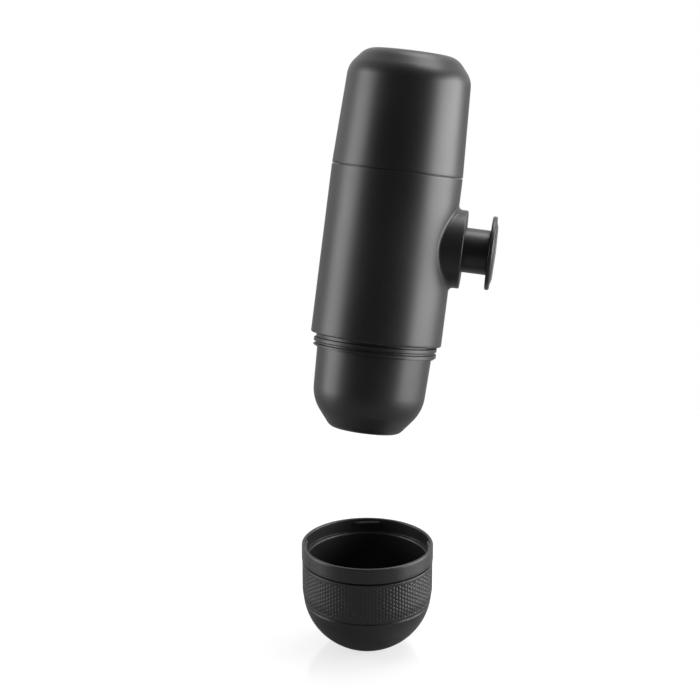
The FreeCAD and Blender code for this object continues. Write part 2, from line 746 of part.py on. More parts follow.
def knob_body():
    """Hollow stem, web, push disc with a rebate for its cap, and the travel-lock lug at the back."""
    stem_bore = STEM_RADIUS - STEM_WALL
    groove = STEM_RADIUS - STOP_RING_GROOVE
    disc_front = disc_back + DISC_THICKNESS
    body = turned_x(
        (stem_bore, stem_end),
        (STEM_RADIUS, stem_end),
        (STEM_RADIUS, stop_ring_face - FIT),
        (groove, stop_ring_face - FIT),
        (groove, stop_ring_face + STOP_RING_THICKNESS + FIT),
        (STEM_RADIUS, stop_ring_face + STOP_RING_THICKNESS + FIT),
        (STEM_RADIUS, disc_back - STEM_ROOT_FLARE),
        (STEM_RADIUS + STEM_ROOT_FLARE, disc_back),
        (DISC_RADIUS - DISC_EDGE, disc_back),
        ((DISC_RADIUS, disc_back + DISC_THICKNESS / 2), (DISC_RADIUS - DISC_EDGE, disc_front)),
        (CAP_RADIUS + FIT, disc_front),
        (CAP_RADIUS + FIT, disc_front - DISC_REBATE),
        (KNOB_POCKET_RADIUS, disc_front - DISC_REBATE),
        (KNOB_POCKET_RADIUS, web_outer),
        (KNOB_PIN_RADIUS + RUNNING, web_outer),
        (KNOB_PIN_RADIUS + RUNNING, web_inner),
        (stem_bore, web_inner),
    )
    lug_outer = disc_back - BUSH_LIP - PISTON_GAP - LUG_PLAY
    lug = bar_x(STEM_RADIUS + LUG_HEIGHT, lug_outer - LUG_THICKNESS, lug_outer)
    slab = Part.makeBox(disc_back, 2 * STEM_RADIUS, LUG_WIDTH, Vector(0, 0, PUMP_HEIGHT - LUG_WIDTH / 2))
    lug = lug.common(slab).cut(bar_x(STEM_RADIUS - STEM_WALL / 2, 0, disc_back))
    return body.fuse(lug).removeSplitter()


def knob_cap():
    """Low-domed cover pressed into the push disc, where the fingers press."""
    low = disc_back + DISC_THICKNESS - DISC_REBATE
    edge = disc_back + DISC_THICKNESS
    return turned_x(
        (0, low),
        (CAP_RADIUS, low),
        (CAP_RADIUS, edge),
        (CAP_RADIUS - CAP_EDGE, edge + CAP_EDGE),
        low_dome(CAP_RADIUS - CAP_EDGE, edge + CAP_EDGE, CAP_RISE),
    )


def stop_ring():
    """Open spring clip in the stem's groove, which stops the knob at the bush."""
    low = stop_ring_face
    inner = STEM_RADIUS - STOP_RING_GROOVE + FIT
    clip = turned_x(
        (inner, low),
        (STEM_RADIUS + STOP_RING_HEIGHT, low),
        (STEM_RADIUS + STOP_RING_HEIGHT, low + STOP_RING_THICKNESS),
        (inner, low + STOP_RING_THICKNESS),
    )
    corner = Vector(low - STOP_RING_THICKNESS, -STOP_RING_OPENING / 2, PUMP_HEIGHT)
    gap = Part.makeBox(3 * STOP_RING_THICKNESS, STOP_RING_OPENING, 2 * STEM_RADIUS, corner)
    return clip.cut(gap)


def guide_bush():
    """Bush in the boss: guides the stem, takes the lug in by a notch and holds it behind its lip."""
    bore = STEM_RADIUS + RUNNING
    recess = STEM_RADIUS + LUG_HEIGHT + LOOSE
    lip_inner = BOSS_REACH - BUSH_LIP
    recess_inner = lip_inner - LUG_THICKNESS - 2 * LUG_PLAY
    outer = boss_bore - FIT
    wiper_far = bush_inner_face + WIPER_INSET + WIPER_WIDTH
    bush = turned_x(
        (bore, bush_inner_face),
        (outer, bush_inner_face),
        (outer, BOSS_REACH - BUSH_CHAMFER),
        (outer - BUSH_CHAMFER, BOSS_REACH),
        (bore + BUSH_CHAMFER, BOSS_REACH),
        (bore, BOSS_REACH - BUSH_CHAMFER),
        (bore, lip_inner),
        (recess, lip_inner),
        (recess, recess_inner),
        (bore, recess_inner),
        (bore, wiper_far),
        (bore + WIPER_DEPTH, wiper_far),
        (bore + WIPER_DEPTH, wiper_far - WIPER_WIDTH),
        (bore, wiper_far - WIPER_WIDTH),
    )
    notch = Part.makeBox(
        BUSH_LIP + 2 * NOTCH_OVERCUT,
        recess,
        LUG_WIDTH + 2 * LOOSE,
        Vector(lip_inner - NOTCH_OVERCUT, 0, PUMP_HEIGHT - LUG_WIDTH / 2 - LOOSE),
    )
    notch = notch.common(bar_x(recess, 0, 2 * BOSS_REACH))
    return bush.cut(notch)


def stem_wiper():
    """Square silicone ring that wipes the stem inside the bush."""
    near = bush_inner_face + WIPER_INSET + FIT
    inner = STEM_RADIUS + RUNNING
    return turned_x(
        (inner, near),
        (inner + WIPER_DEPTH - FIT, near),
        (inner + WIPER_DEPTH - FIT, near + WIPER_WIDTH - 2 * FIT),
        (inner, near + WIPER_WIDTH - 2 * FIT),
    )


def return_spring():
    """Spring from the gland's face to the knob's web, round the rod."""
    length = web_inner - gland_face - 2 * FIT
    spring = coil_spring(SPRING_RADIUS, SPRING_WIRE, SPRING_TURNS, length)
    spring.Placement = Placement(Vector(gland_face + FIT, 0, PUMP_HEIGHT), Rotation(Vector(0, 1, 0), 90))
    return spring


def brew_head():
    """Cup-shaped moulding that closes the barrel's lower end: roof, screen rim, centre boss and skirt."""
    rim_inner = screen_radius - SCREEN_RIM
    standoff = roof_underside - SCREEN_STANDOFF
    head = turned(
        (0, roof_top),
        (chamber_radius, roof_top),
        (chamber_radius, skirt_end),
        (chamber_bore, skirt_end),
        (chamber_bore, roof_underside),
        (screen_radius, roof_underside),
        (screen_radius, standoff),
        (rim_inner, standoff),
        (rim_inner, roof_underside),
        (SCREW_HEAD_RADIUS + SCREEN_BOSS_MARGIN, roof_underside),
        (SCREW_HEAD_RADIUS + SCREEN_BOSS_MARGIN, standoff),
        (0, standoff),
    )
    head = head.cut(rod(VALVE_PORT_RADIUS, roof_underside - OVERCUT, roof_top + OVERCUT, VALVE_PLACE_X))
    head = head.cut(rod(SCREW_RADIUS + FIT, standoff - OVERCUT, roof_top - SCREEN_SCREW_COVER))
    low, high = roof_underside - OVERCUT, roof_top + OVERCUT
    head_face = roof_underside + SCREW_HEAD_HEIGHT
    for place in post_places():
        head = head.cut(rod(SCREW_RADIUS + FIT, low, high, place.x, place.y))
        head = head.cut(rod(SCREW_HEAD_RADIUS + RUNNING, low, head_face, place.x, place.y))
    return head


def brew_gasket():
    """Silicone ring that the basket's flange is pressed against."""
    return ring(gasket_outer, gasket_inner, gasket_face, roof_underside)


def shower_screen():
    """Perforated steel disc that spreads the water over the coffee."""
    high = roof_underside - SCREEN_STANDOFF
    low = high - SCREEN_THICKNESS
    screen = rod(screen_radius, low, high).cut(rod(SCREW_RADIUS + FIT, low - OVERCUT, high + OVERCUT))
    for place in hole_field(screen_radius - SCREEN_MARGIN, SCREEN_HOLE_SPACING, SCREW_HEAD_RADIUS):
        screen = screen.cut(rod(SCREEN_HOLE, low - OVERCUT, high + OVERCUT, place.x, place.y))
    return screen


def screen_screw():
    """Short screw through the middle of the shower screen."""
    face = roof_underside - SCREEN_STANDOFF - SCREEN_THICKNESS
    head = rod(SCREW_HEAD_RADIUS, face - SCREEN_SCREW_HEAD_HEIGHT, face)
    return head.fuse(rod(SCREW_RADIUS, face, roof_top - SCREEN_SCREW_COVER - LOOSE))


def filter_basket():
    """Spun steel basket with a flange and a perforated floor."""
    bottom = basket_top - BASKET_DEPTH
    corner = BASKET_CORNER
    inner = basket_radius - BASKET_WALL
    middle = (basket_radius - corner, bottom + corner)
    basket = turned(
        (0, bottom),
        (basket_radius - corner, bottom),
        (arc_point(middle, corner, -45), (basket_radius, bottom + corner)),
        (basket_radius, basket_top - BASKET_FLANGE),
        (basket_radius + BASKET_FLANGE_OVERHANG, basket_top - BASKET_FLANGE),
        (basket_radius + BASKET_FLANGE_OVERHANG, basket_top),
        (inner, basket_top),
        (inner, bottom + corner),
        (arc_point(middle, corner - BASKET_WALL, -45), (basket_radius - corner, bottom + BASKET_WALL)),
        (0, bottom + BASKET_WALL),
    )
    for place in hole_field(basket_radius - BASKET_MARGIN, BASKET_HOLE_SPACING):
        basket = basket.cut(rod(BASKET_HOLE, bottom - OVERCUT, bottom + OVERCUT, place.x, place.y))
    return basket


def outlet_head():
    """Outlet head in one piece: threaded collar, grooved neck that carries the cup, and hollow dome."""
    form = (dome_radius - DOME_DRAFT, neck_bottom - DOME_SIDE_LENGTH, dome_bottom)
    form += (DOME_CORNER_RADIUS, DOME_SLOPE, DOME_EDGE_RADIUS)
    side_end, outer_steps = crown(*form)
    floor_middle, inner_steps = backwards(*crown(*form, DOME_WALL))
    groove = neck_radius - NECK_GROOVE_DEPTH
    ridge = (NECK_HEIGHT - 2 * NECK_GROOVE_WIDTH) / 2
    upper_ridge = neck_top - NECK_GROOVE_WIDTH
    lower_groove = upper_ridge - ridge
    lower_ridge = lower_groove - NECK_GROOVE_WIDTH
    head = turned(
        (collar_bore, collar_top),
        (collar_radius, collar_top),
        (collar_radius, neck_top),
        (groove, neck_top),
        (groove, upper_ridge),
        (neck_radius, upper_ridge - NECK_EDGE),
        (neck_radius, lower_groove),
        (groove, lower_groove),
        (groove, lower_ridge),
        (neck_radius, lower_ridge - NECK_EDGE),
        (neck_radius, neck_bottom + NECK_EDGE),
        (neck_radius - NECK_EDGE, neck_bottom),
        (dome_radius, neck_bottom),
        side_end,
        *outer_steps,
        floor_middle,
        *inner_steps,
    )
    return head.cut(rod(NOZZLE_BORE + NOZZLE_WALL + FIT, dome_bottom - OVERCUT, dome_floor + OVERCUT))


def nozzle_insert():
    """Spout tube pressed into the outlet head's floor, with a dished flange that gathers the coffee."""
    outer = NOZZLE_BORE + NOZZLE_WALL
    return turned(
        (NOZZLE_BORE, dome_bottom + NOZZLE_INSET),
        (outer, dome_bottom + NOZZLE_INSET),
        (outer, dome_floor),
        (NOZZLE_FLANGE, dome_floor),
        (NOZZLE_FLANGE, dome_floor + NOZZLE_FLANGE_THICKNESS),
        (NOZZLE_BORE, dome_floor + NOZZLE_FLANGE_THICKNESS - NOZZLE_DISH),
    )


def head_gasket():
    """Flat ring round the collar, between the neck and the brew head's skirt."""
    return ring(barrel_bore - LOOSE, collar_radius + RUNNING, neck_top + FIT, skirt_end - RUNNING)


def cup_shell():
    """Cup: rim band, seat for the grip, round bowl on a ring foot, and a stepped mouth for the neck."""
    centre = (0.0, -CUP_BOWL_CENTRE)
    grip_bottom = -CUP_RIM_BAND - GRIP_LENGTH
    seat_radius = GRIP_RADIUS - GRIP_THICKNESS - FIT
    inner_radius = CUP_BOWL_RADIUS - CUP_WALL
    foot_drop = math.sqrt(CUP_BOWL_RADIUS**2 - CUP_FOOT_RADIUS**2)
    foot = -CUP_BOWL_CENTRE - foot_drop
    floor = foot + CUP_FLOOR
    bowl_start = math.degrees(math.asin((grip_bottom + CUP_BOWL_CENTRE) / CUP_BOWL_RADIUS))
    bowl_end = -math.degrees(math.asin(foot_drop / CUP_BOWL_RADIUS))
    floor_end = -math.degrees(math.asin((-CUP_BOWL_CENTRE - floor) / inner_radius))
    mouth = CUP_RADIUS - CUP_RIM_WALL
    return turned(
        (mouth, 0),
        (CUP_RADIUS - CUP_EDGE, 0),
        (CUP_RADIUS, -CUP_EDGE),
        (CUP_RADIUS, -CUP_RIM_BAND + CUP_EDGE),
        (CUP_RADIUS - CUP_EDGE, -CUP_RIM_BAND),
        (seat_radius, -CUP_RIM_BAND),
        (seat_radius, grip_bottom),
        arc_point(centre, CUP_BOWL_RADIUS, bowl_start),
        (
            arc_point(centre, CUP_BOWL_RADIUS, (bowl_start + bowl_end) / 2),
            arc_point(centre, CUP_BOWL_RADIUS, bowl_end),
        ),
        (CUP_FOOT_RADIUS - CUP_FOOT_RING, foot),
        (CUP_FOOT_RADIUS - CUP_FOOT_RING - CUP_FOOT_FLARE, foot + CUP_FOOT_HOLLOW),
        (0, foot + CUP_FOOT_HOLLOW),
        (0, floor),
        arc_point(centre, inner_radius, floor_end),
        (arc_point(centre, inner_radius, floor_end / 2), arc_point(centre, inner_radius, 0)),
        (inner_radius, -CUP_MOUTH_DEPTH - CUP_LEDGE_EDGE),
        (inner_radius + CUP_LEDGE_EDGE, -CUP_MOUTH_DEPTH),
        (mouth, -CUP_MOUTH_DEPTH),
    )


def cup_grip():
    """Soft grip band round the cup, under its rim."""
    top = -CUP_RIM_BAND - GRIP_GAP
    bottom = -CUP_RIM_BAND - GRIP_LENGTH
    inner = GRIP_RADIUS - GRIP_THICKNESS
    return turned(
        (inner, bottom),
        (GRIP_RADIUS - GRIP_CHAMFER, bottom),
        (GRIP_RADIUS, bottom + GRIP_CHAMFER),
        (GRIP_RADIUS, top - GRIP_EDGE),
        (GRIP_RADIUS - GRIP_EDGE, top),
        (inner, top),
    )


def build():
    """Every piece of the maker in its upright frame, and of the cup in its own, by node name."""
    pockets = valve_pockets()
    maker = {
        "barrel_shell": barrel_shell(),
        "tank_shell": tank_shell(),
        "tank_gasket": tank_gasket(),
        "tank_deck": tank_deck(),
        "inlet_strainer": inlet_strainer(),
        "vent_valve": vent_valve(),
        "pump_block": pump_block(),
        "cylinder_gland": cylinder_gland(),
        "piston_head": piston_head(),
        "piston_rings": Part.makeCompound(piston_rings()),
        "plunger_rod": plunger_rod(),
        "knob_washer": knob_washer(),
        "knob_screw": knob_screw(),
        "knob_body": knob_body(),
        "knob_cap": knob_cap(),
        "stop_ring": stop_ring(),
        "guide_bush": guide_bush(),
        "stem_wiper": stem_wiper(),
        "return_spring": return_spring(),
        "brew_head": brew_head(),
        "brew_gasket": brew_gasket(),
        "shower_screen": shower_screen(),
        "screen_screw": screen_screw(),
        "filter_basket": filter_basket(),
        "outlet_head": outlet_head(),
        "nozzle_insert": nozzle_insert(),
        "head_gasket": head_gasket(),
    }
    for name, (low, high) in pockets.items():
        maker[name + "_cartridge"] = valve_cartridge(low, high)
        maker[name + "_ball"] = valve_ball(high)
        maker[name + "_spring"] = valve_spring(low, high)
    deck_face = deck_top - SCREW_HEAD_HEIGHT
    roof_face = roof_underside + SCREW_HEAD_HEIGHT
    places = post_places()
    maker["deck_screws"] = Part.makeCompound([cheese_head_screw(p.x, p.y, deck_face, -1) for p in places])
    maker["brew_screws"] = Part.makeCompound([cheese_head_screw(p.x, p.y, roof_face, 1) for p in places])
    cup = {"cup_shell": cup_shell(), "cup_grip": cup_grip()}
    return maker, cup


def placed(shape, placement):
    """The shape moved to where it stands in the whole."""
    return shape.transformed(placement.toMatrix())


def main():
    os.makedirs("parts", exist_ok=True)
    maker, cup = build()
    for pieces, placement in ((maker, HELD), (cup, CUP_STANDS)):
        for name, shape in pieces.items():
            placed(shape, placement).exportStep(os.path.join("parts", name + ".step"))
            print(name, shape.isValid(), len(shape.Solids), round(shape.Volume, 1))


if __name__ == "__main__":
    main()
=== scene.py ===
import json
import math

import bpy
import numpy as np
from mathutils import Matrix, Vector


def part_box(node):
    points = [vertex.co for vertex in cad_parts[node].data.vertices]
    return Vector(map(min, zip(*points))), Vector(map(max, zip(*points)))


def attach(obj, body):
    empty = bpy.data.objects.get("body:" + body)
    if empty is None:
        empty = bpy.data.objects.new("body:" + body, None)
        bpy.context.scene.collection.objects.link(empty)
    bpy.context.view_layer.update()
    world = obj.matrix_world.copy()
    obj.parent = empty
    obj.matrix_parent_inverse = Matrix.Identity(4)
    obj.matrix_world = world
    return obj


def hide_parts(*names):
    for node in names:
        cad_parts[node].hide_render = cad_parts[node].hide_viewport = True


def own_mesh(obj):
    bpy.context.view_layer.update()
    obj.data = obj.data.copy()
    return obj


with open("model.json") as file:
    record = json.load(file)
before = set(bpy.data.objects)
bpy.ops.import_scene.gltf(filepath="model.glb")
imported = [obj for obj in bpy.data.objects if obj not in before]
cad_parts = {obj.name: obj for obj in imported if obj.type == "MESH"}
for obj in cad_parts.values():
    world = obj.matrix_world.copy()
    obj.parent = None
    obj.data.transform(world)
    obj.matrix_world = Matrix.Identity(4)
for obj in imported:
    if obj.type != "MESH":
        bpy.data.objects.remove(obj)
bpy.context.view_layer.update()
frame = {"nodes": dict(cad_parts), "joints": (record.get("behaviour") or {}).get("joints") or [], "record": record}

# WATER TANK
# The rounded upper part of the capsule: one injection-moulded shell of black ABS with a satin
# spark-eroded face, tapering a little to a sloped shoulder and a flat end. It screws onto the barrel's
# deck and leaves a thin seam.

# The maker's pieces are drawn upright in millimetres, long axis up and pump to the right, and MAKER
# leans them: its rows are the maker's own three directions, those of its joints, and its origin.
joint_axes = {joint["name"]: np.array(joint["axis"]) for joint in frame["joints"]}
long_axis = joint_axes["tank_lift"]
pump_axis = joint_axes["piston_slide"]
side_axis = np.cross(long_axis, pump_axis)
MAKER = (np.array([pump_axis, side_axis, long_axis]), np.zeros(3))
BARREL_RADIUS = 28.5
BARREL_HALF_LENGTH = 36.65
SEAM_GAP = 0.45
SEAM_DEPTH = 0.4
SEAM_EDGE = 0.22
MOUTH_GAP = 0.08
TANK_BASE = BARREL_HALF_LENGTH + SEAM_GAP
TANK_LENGTH = 51.0
TANK_SIDE_LENGTH = 38.5
TANK_SHOULDER_RADIUS = 26.7
TANK_SLOPE = math.radians(40)
TANK_CORNER = 10.5
TANK_EDGE = 9.0
TANK_MOUTH_RADIUS = 25.5
TANK_BORE = 24.2
TANK_MOUTH_DEPTH = 8.7
TANK_WALL = 3.2
INNER_SHIFT = 1.2
ARC_STEP = 0.4


def rounded(corners, spacing=1.2):
    """Outline through (radius, height, rounding) corners: an arc that touches both sides replaces each
    corner, and straight stretches are divided evenly, so that the shading stays true on them."""
    corners = np.array(corners, dtype=float)
    points = []
    for i, (radius, height, rounding) in enumerate(corners):
        here = np.array([radius, height])
        if rounding == 0 or i in (0, len(corners) - 1):
            points.append(here[None])
            continue
        back = corners[i - 1, :2] - here
        ahead = corners[i + 1, :2] - here
        back /= np.linalg.norm(back)
        ahead /= np.linalg.norm(ahead)
        half = math.acos(np.clip(back @ ahead, -1, 1)) / 2
        middle = here + (back + ahead) / np.linalg.norm(back + ahead) * rounding / math.sin(half)
        first = here + back * rounding / math.tan(half) - middle
        last = here + ahead * rounding / math.tan(half) - middle
        sweep = math.pi - 2 * half
        steps = int(np.clip(sweep * rounding / ARC_STEP, 4, 40))
        t = np.linspace(0, 1, steps + 1)[:, None]
        arc = (np.sin((1 - t) * sweep) * first + np.sin(t * sweep) * last) / math.sin(sweep)
        points.append(middle + arc)
    sparse = np.concatenate(points)
    lengths = np.linalg.norm(np.diff(sparse, axis=0), axis=1)
    sparse = sparse[np.concatenate([[True], lengths > 1e-6])]
    counts = np.maximum(1, np.ceil(np.linalg.norm(np.diff(sparse, axis=0), axis=1) / spacing).astype(int))
    starts = np.repeat(np.arange(len(counts)), counts)
    part = np.concatenate([np.arange(n) / n for n in counts])[:, None]
    dense = sparse[starts] * (1 - part) + sparse[starts + 1] * part
    return np.concatenate([dense, sparse[-1:]])


def turned(outline, columns=256):
    """Surface of revolution: the outline point (radius, height) at turn t is (radius cos t, radius sin
    t, height). The outline runs with the solid on its left."""
    turn = np.linspace(0, 2 * np.pi, columns, endpoint=False)
    radius, height = outline[:, :1], outline[:, 1:]
    return np.stack([radius * np.cos(turn), radius * np.sin(turn), height + 0 * turn], -1)


def grid_faces(rows, columns, joined):
    """Faces of a grid of points whose columns close on themselves: each joins four neighbours, and where
    joined is true the last row also meets the first."""
    index = np.arange(rows * columns).reshape(rows, columns)
    low = index if joined else index[:-1]
    high = np.roll(index, -1, 0) if joined else index[1:]
    return np.stack([low, np.roll(low, -1, 1), np.roll(high, -1, 1), high], -1).reshape(-1, 4)


def turn_of(grid):
    """Turn of each point of a grid about the upright axis."""
    return np.arctan2(grid[..., 1], grid[..., 0])


def placed(name, data):
    """New object in the scene that holds the data."""
    made = bpy.data.objects.new(name, data)
    bpy.context.scene.collection.objects.link(made)
    return made


def piece_from(name, points, faces, stand):
    """Object from points in millimetres in a piece's own upright frame. Each point goes to the row's
    frame as its coordinates times that frame's axes, plus its origin. Points that coincide are one, as
    at a pole, where a face that has lost one corner stays as a triangle."""
    axes, origin = stand
    flat = points.reshape(-1, 3)
    _, first, renumbered = np.unique(flat.round(4), axis=0, return_index=True, return_inverse=True)
    corners = renumbered.reshape(-1)[faces]
    fresh = corners != np.roll(corners, -1, 1)
    quads = corners[fresh.all(1)]
    short = fresh.sum(1) == 3
    triangles = corners[short][fresh[short]].reshape(-1, 3)
    mesh = bpy.data.meshes.new(name)
    mesh.from_pydata(flat[first] @ axes / 1000 + origin, [], quads.tolist() + triangles.tolist())
    mesh.shade_smooth()
    return placed(name, mesh)


def turned_piece(name, corners, stand, columns=256, spacing=1.2):
    """Turned solid from its corners: closed round a bore, or with both of its ends on the axis."""
    outline = rounded(corners, spacing)
    on_axis = outline[0, 0] == 0 and outline[-1, 0] == 0
    return piece_from(name, turned(outline, columns), grid_faces(len(outline), columns, not on_axis), stand)


def linear(hex_colour):
    """sRGB hex to the linear colour that sockets hold."""
    srgb = np.array([int(hex_colour[i : i + 2], 16) for i in (1, 3, 5)]) / 255
    rgb = np.where(srgb <= 0.04045, srgb / 12.92, ((srgb + 0.055) / 1.055) ** 2.4)
    return (*rgb.tolist(), 1.0)


def add(tree, kind, inputs=None, **settings):
    """Adds one shader node: settings are its own, inputs are values or other nodes' outputs by socket."""
    made = tree.nodes.new(kind)
    for key, value in settings.items():
        setattr(made, key, value)
    for key, value in (inputs or {}).items():
        if isinstance(value, bpy.types.NodeSocket):
            tree.links.new(value, made.inputs[key])
        else:
            made.inputs[key].default_value = value
    return made


def empty_tree(owner):
    """Node tree of a material or world, without the nodes that it comes with."""
    owner.use_nodes = True
    owner.node_tree.nodes.clear()
    return owner.node_tree


def moulded_plastic(name, dark, pale, roughness, grain_mm, relief_mm):
    """Injection-moulded plastic, coloured through. The mould's spark-eroded face leaves an even grain of
    tiny round pits that spreads reflections, and the colour and gloss drift a little over some
    centimetres."""
    material = bpy.data.materials.new(name)
    tree = empty_tree(material)
    place = add(tree, "ShaderNodeTexCoord").outputs["Object"]
    pits = add(tree, "ShaderNodeTexNoise", {"Vector": place, "Scale": 1000 / grain_mm, "Detail": 2.0})
    drift = add(tree, "ShaderNodeTexNoise", {"Vector": place, "Scale": 1000 / 40, "Detail": 3.0})
    gloss = add(tree, "ShaderNodeMapRange", {"Value": drift.outputs["Fac"], "From Min": 0.3, "From Max": 0.7,
                                             "To Min": roughness - 0.03, "To Max": roughness + 0.03})
    colour = add(tree, "ShaderNodeValToRGB", {"Fac": drift.outputs["Fac"]})
    low, high = colour.color_ramp.elements
    low.position, high.position = 0.3, 0.7
    low.color, high.color = linear(dark), linear(pale)
    bump = add(tree, "ShaderNodeBump", {"Height": pits.outputs["Fac"], "Strength": 0.4,
                                        "Distance": relief_mm / 1000})
    surface = add(tree, "ShaderNodeBsdfPrincipled", {"Base Color": colour.outputs["Color"],
                                                     "Roughness": gloss.outputs["Result"], "IOR": 1.5,
                                                     "Normal": bump.outputs["Normal"]})
    add(tree, "ShaderNodeOutputMaterial", {"Surface": surface.outputs["BSDF"]})
    return material


# Satin black ABS: dark and even, with broad soft reflections. A real grain of 0.1 mm is too fine to
# show, so it is drawn at 0.35 mm.
casing_plastic = moulded_plastic("satin_black_moulded_abs", "#141415", "#1a1a1b", 0.4, 0.35, 0.008)

shoulder_height = TANK_BASE + TANK_SIDE_LENGTH + TANK_CORNER * math.tan(TANK_SLOPE / 2)
tank_end = TANK_BASE + TANK_LENGTH
end_radius = TANK_SHOULDER_RADIUS - (tank_end - shoulder_height) * math.tan(TANK_SLOPE)
tank = turned_piece("water_tank", [
    (0, tank_end - TANK_WALL, 0),
    (end_radius - INNER_SHIFT, tank_end - TANK_WALL, TANK_EDGE - TANK_WALL),
    (TANK_SHOULDER_RADIUS - TANK_WALL, shoulder_height - INNER_SHIFT, TANK_CORNER - TANK_WALL),
    (TANK_BORE, TANK_BASE + TANK_MOUTH_DEPTH, 0.2),
    (TANK_MOUTH_RADIUS, TANK_BASE + TANK_MOUTH_DEPTH, 0.2),
    (TANK_MOUTH_RADIUS, BARREL_HALF_LENGTH + MOUTH_GAP, 0.1),
    (BARREL_RADIUS - SEAM_DEPTH, BARREL_HALF_LENGTH + MOUTH_GAP, 0.05),
    (BARREL_RADIUS - SEAM_DEPTH, TANK_BASE, 0.05),
    (BARREL_RADIUS, TANK_BASE, SEAM_EDGE),
    (TANK_SHOULDER_RADIUS, shoulder_height, TANK_CORNER),
    (end_radius, tank_end, TANK_EDGE),
    (0, tank_end, 0),
], MAKER)
tank.data.materials.append(casing_plastic)
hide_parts("tank_shell")
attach(tank, "tank")

# BARREL
# The straight tube in the middle, moulded in one with the round boss of the pump, which a soft fillet
# blends into its side. It is of the same satin black ABS.
PUMP_HEIGHT = 6.6
BARREL_BORE = 26.3
BOSS_RADIUS = 17.0
BOSS_REACH = 32.8
BOSS_BORE = 14.4
BOSS_FILLET = 1.8
BOSS_EDGE = 0.5
MOUTH_INSIDE = 5.0
MOUTH_OUTSIDE = 1.6
COLUMNS = 192
PATCH_CELLS = 56
BORE_RINGS = 12
WALL_RINGS = 9
FILLET_RINGS = 15
SKIRT_RINGS = 17
half_patch = PATCH_CELLS // 2
cell = 2 * np.pi * BARREL_RADIUS / COLUMNS
low = PUMP_HEIGHT - half_patch * cell
high = PUMP_HEIGHT + half_patch * cell


def barrel_points():
    """The barrel's wall without its boss. The tube is a closed outline turned about the long axis, with
    a square window left open in its outer face and another in its bore."""
    ends = rounded([
        (BARREL_BORE, high, 0),
        (BARREL_BORE, BARREL_HALF_LENGTH, 0.2),
        (BARREL_RADIUS, BARREL_HALF_LENGTH, SEAM_EDGE),
        (BARREL_RADIUS, high, 0),
    ], 0.9)[::-1]
    foot = rounded([
        (BARREL_RADIUS, low, 0),
        (BARREL_RADIUS, -BARREL_HALF_LENGTH, 0.45),
        (BARREL_BORE, -BARREL_HALF_LENGTH, 0.2),
        (BARREL_BORE, low, 0),
    ], 0.9)[::-1]
    rows = np.linspace(low, high, PATCH_CELLS + 1)[1:-1]
    window = np.stack([np.full(len(rows), BARREL_RADIUS), rows], -1)
    bore = np.stack([np.full(len(rows), BARREL_BORE), rows[::-1]], -1)
    outline = np.concatenate([foot, window, ends, bore])
    tube = turned(outline, COLUMNS)
    faces = grid_faces(len(outline), COLUMNS, True).reshape(len(outline), COLUMNS, 4)
    outer_rows = np.arange(len(foot) - 1, len(foot) - 1 + PATCH_CELLS)
    open_rows = np.concatenate([outer_rows, np.arange(len(outline) - PATCH_CELLS, len(outline))])
    open_columns = np.arange(-half_patch, half_patch) % COLUMNS
    shut = np.ones((len(outline), COLUMNS), dtype=bool)
    shut[np.ix_(open_rows, open_columns)] = False
    return tube, faces[shut]


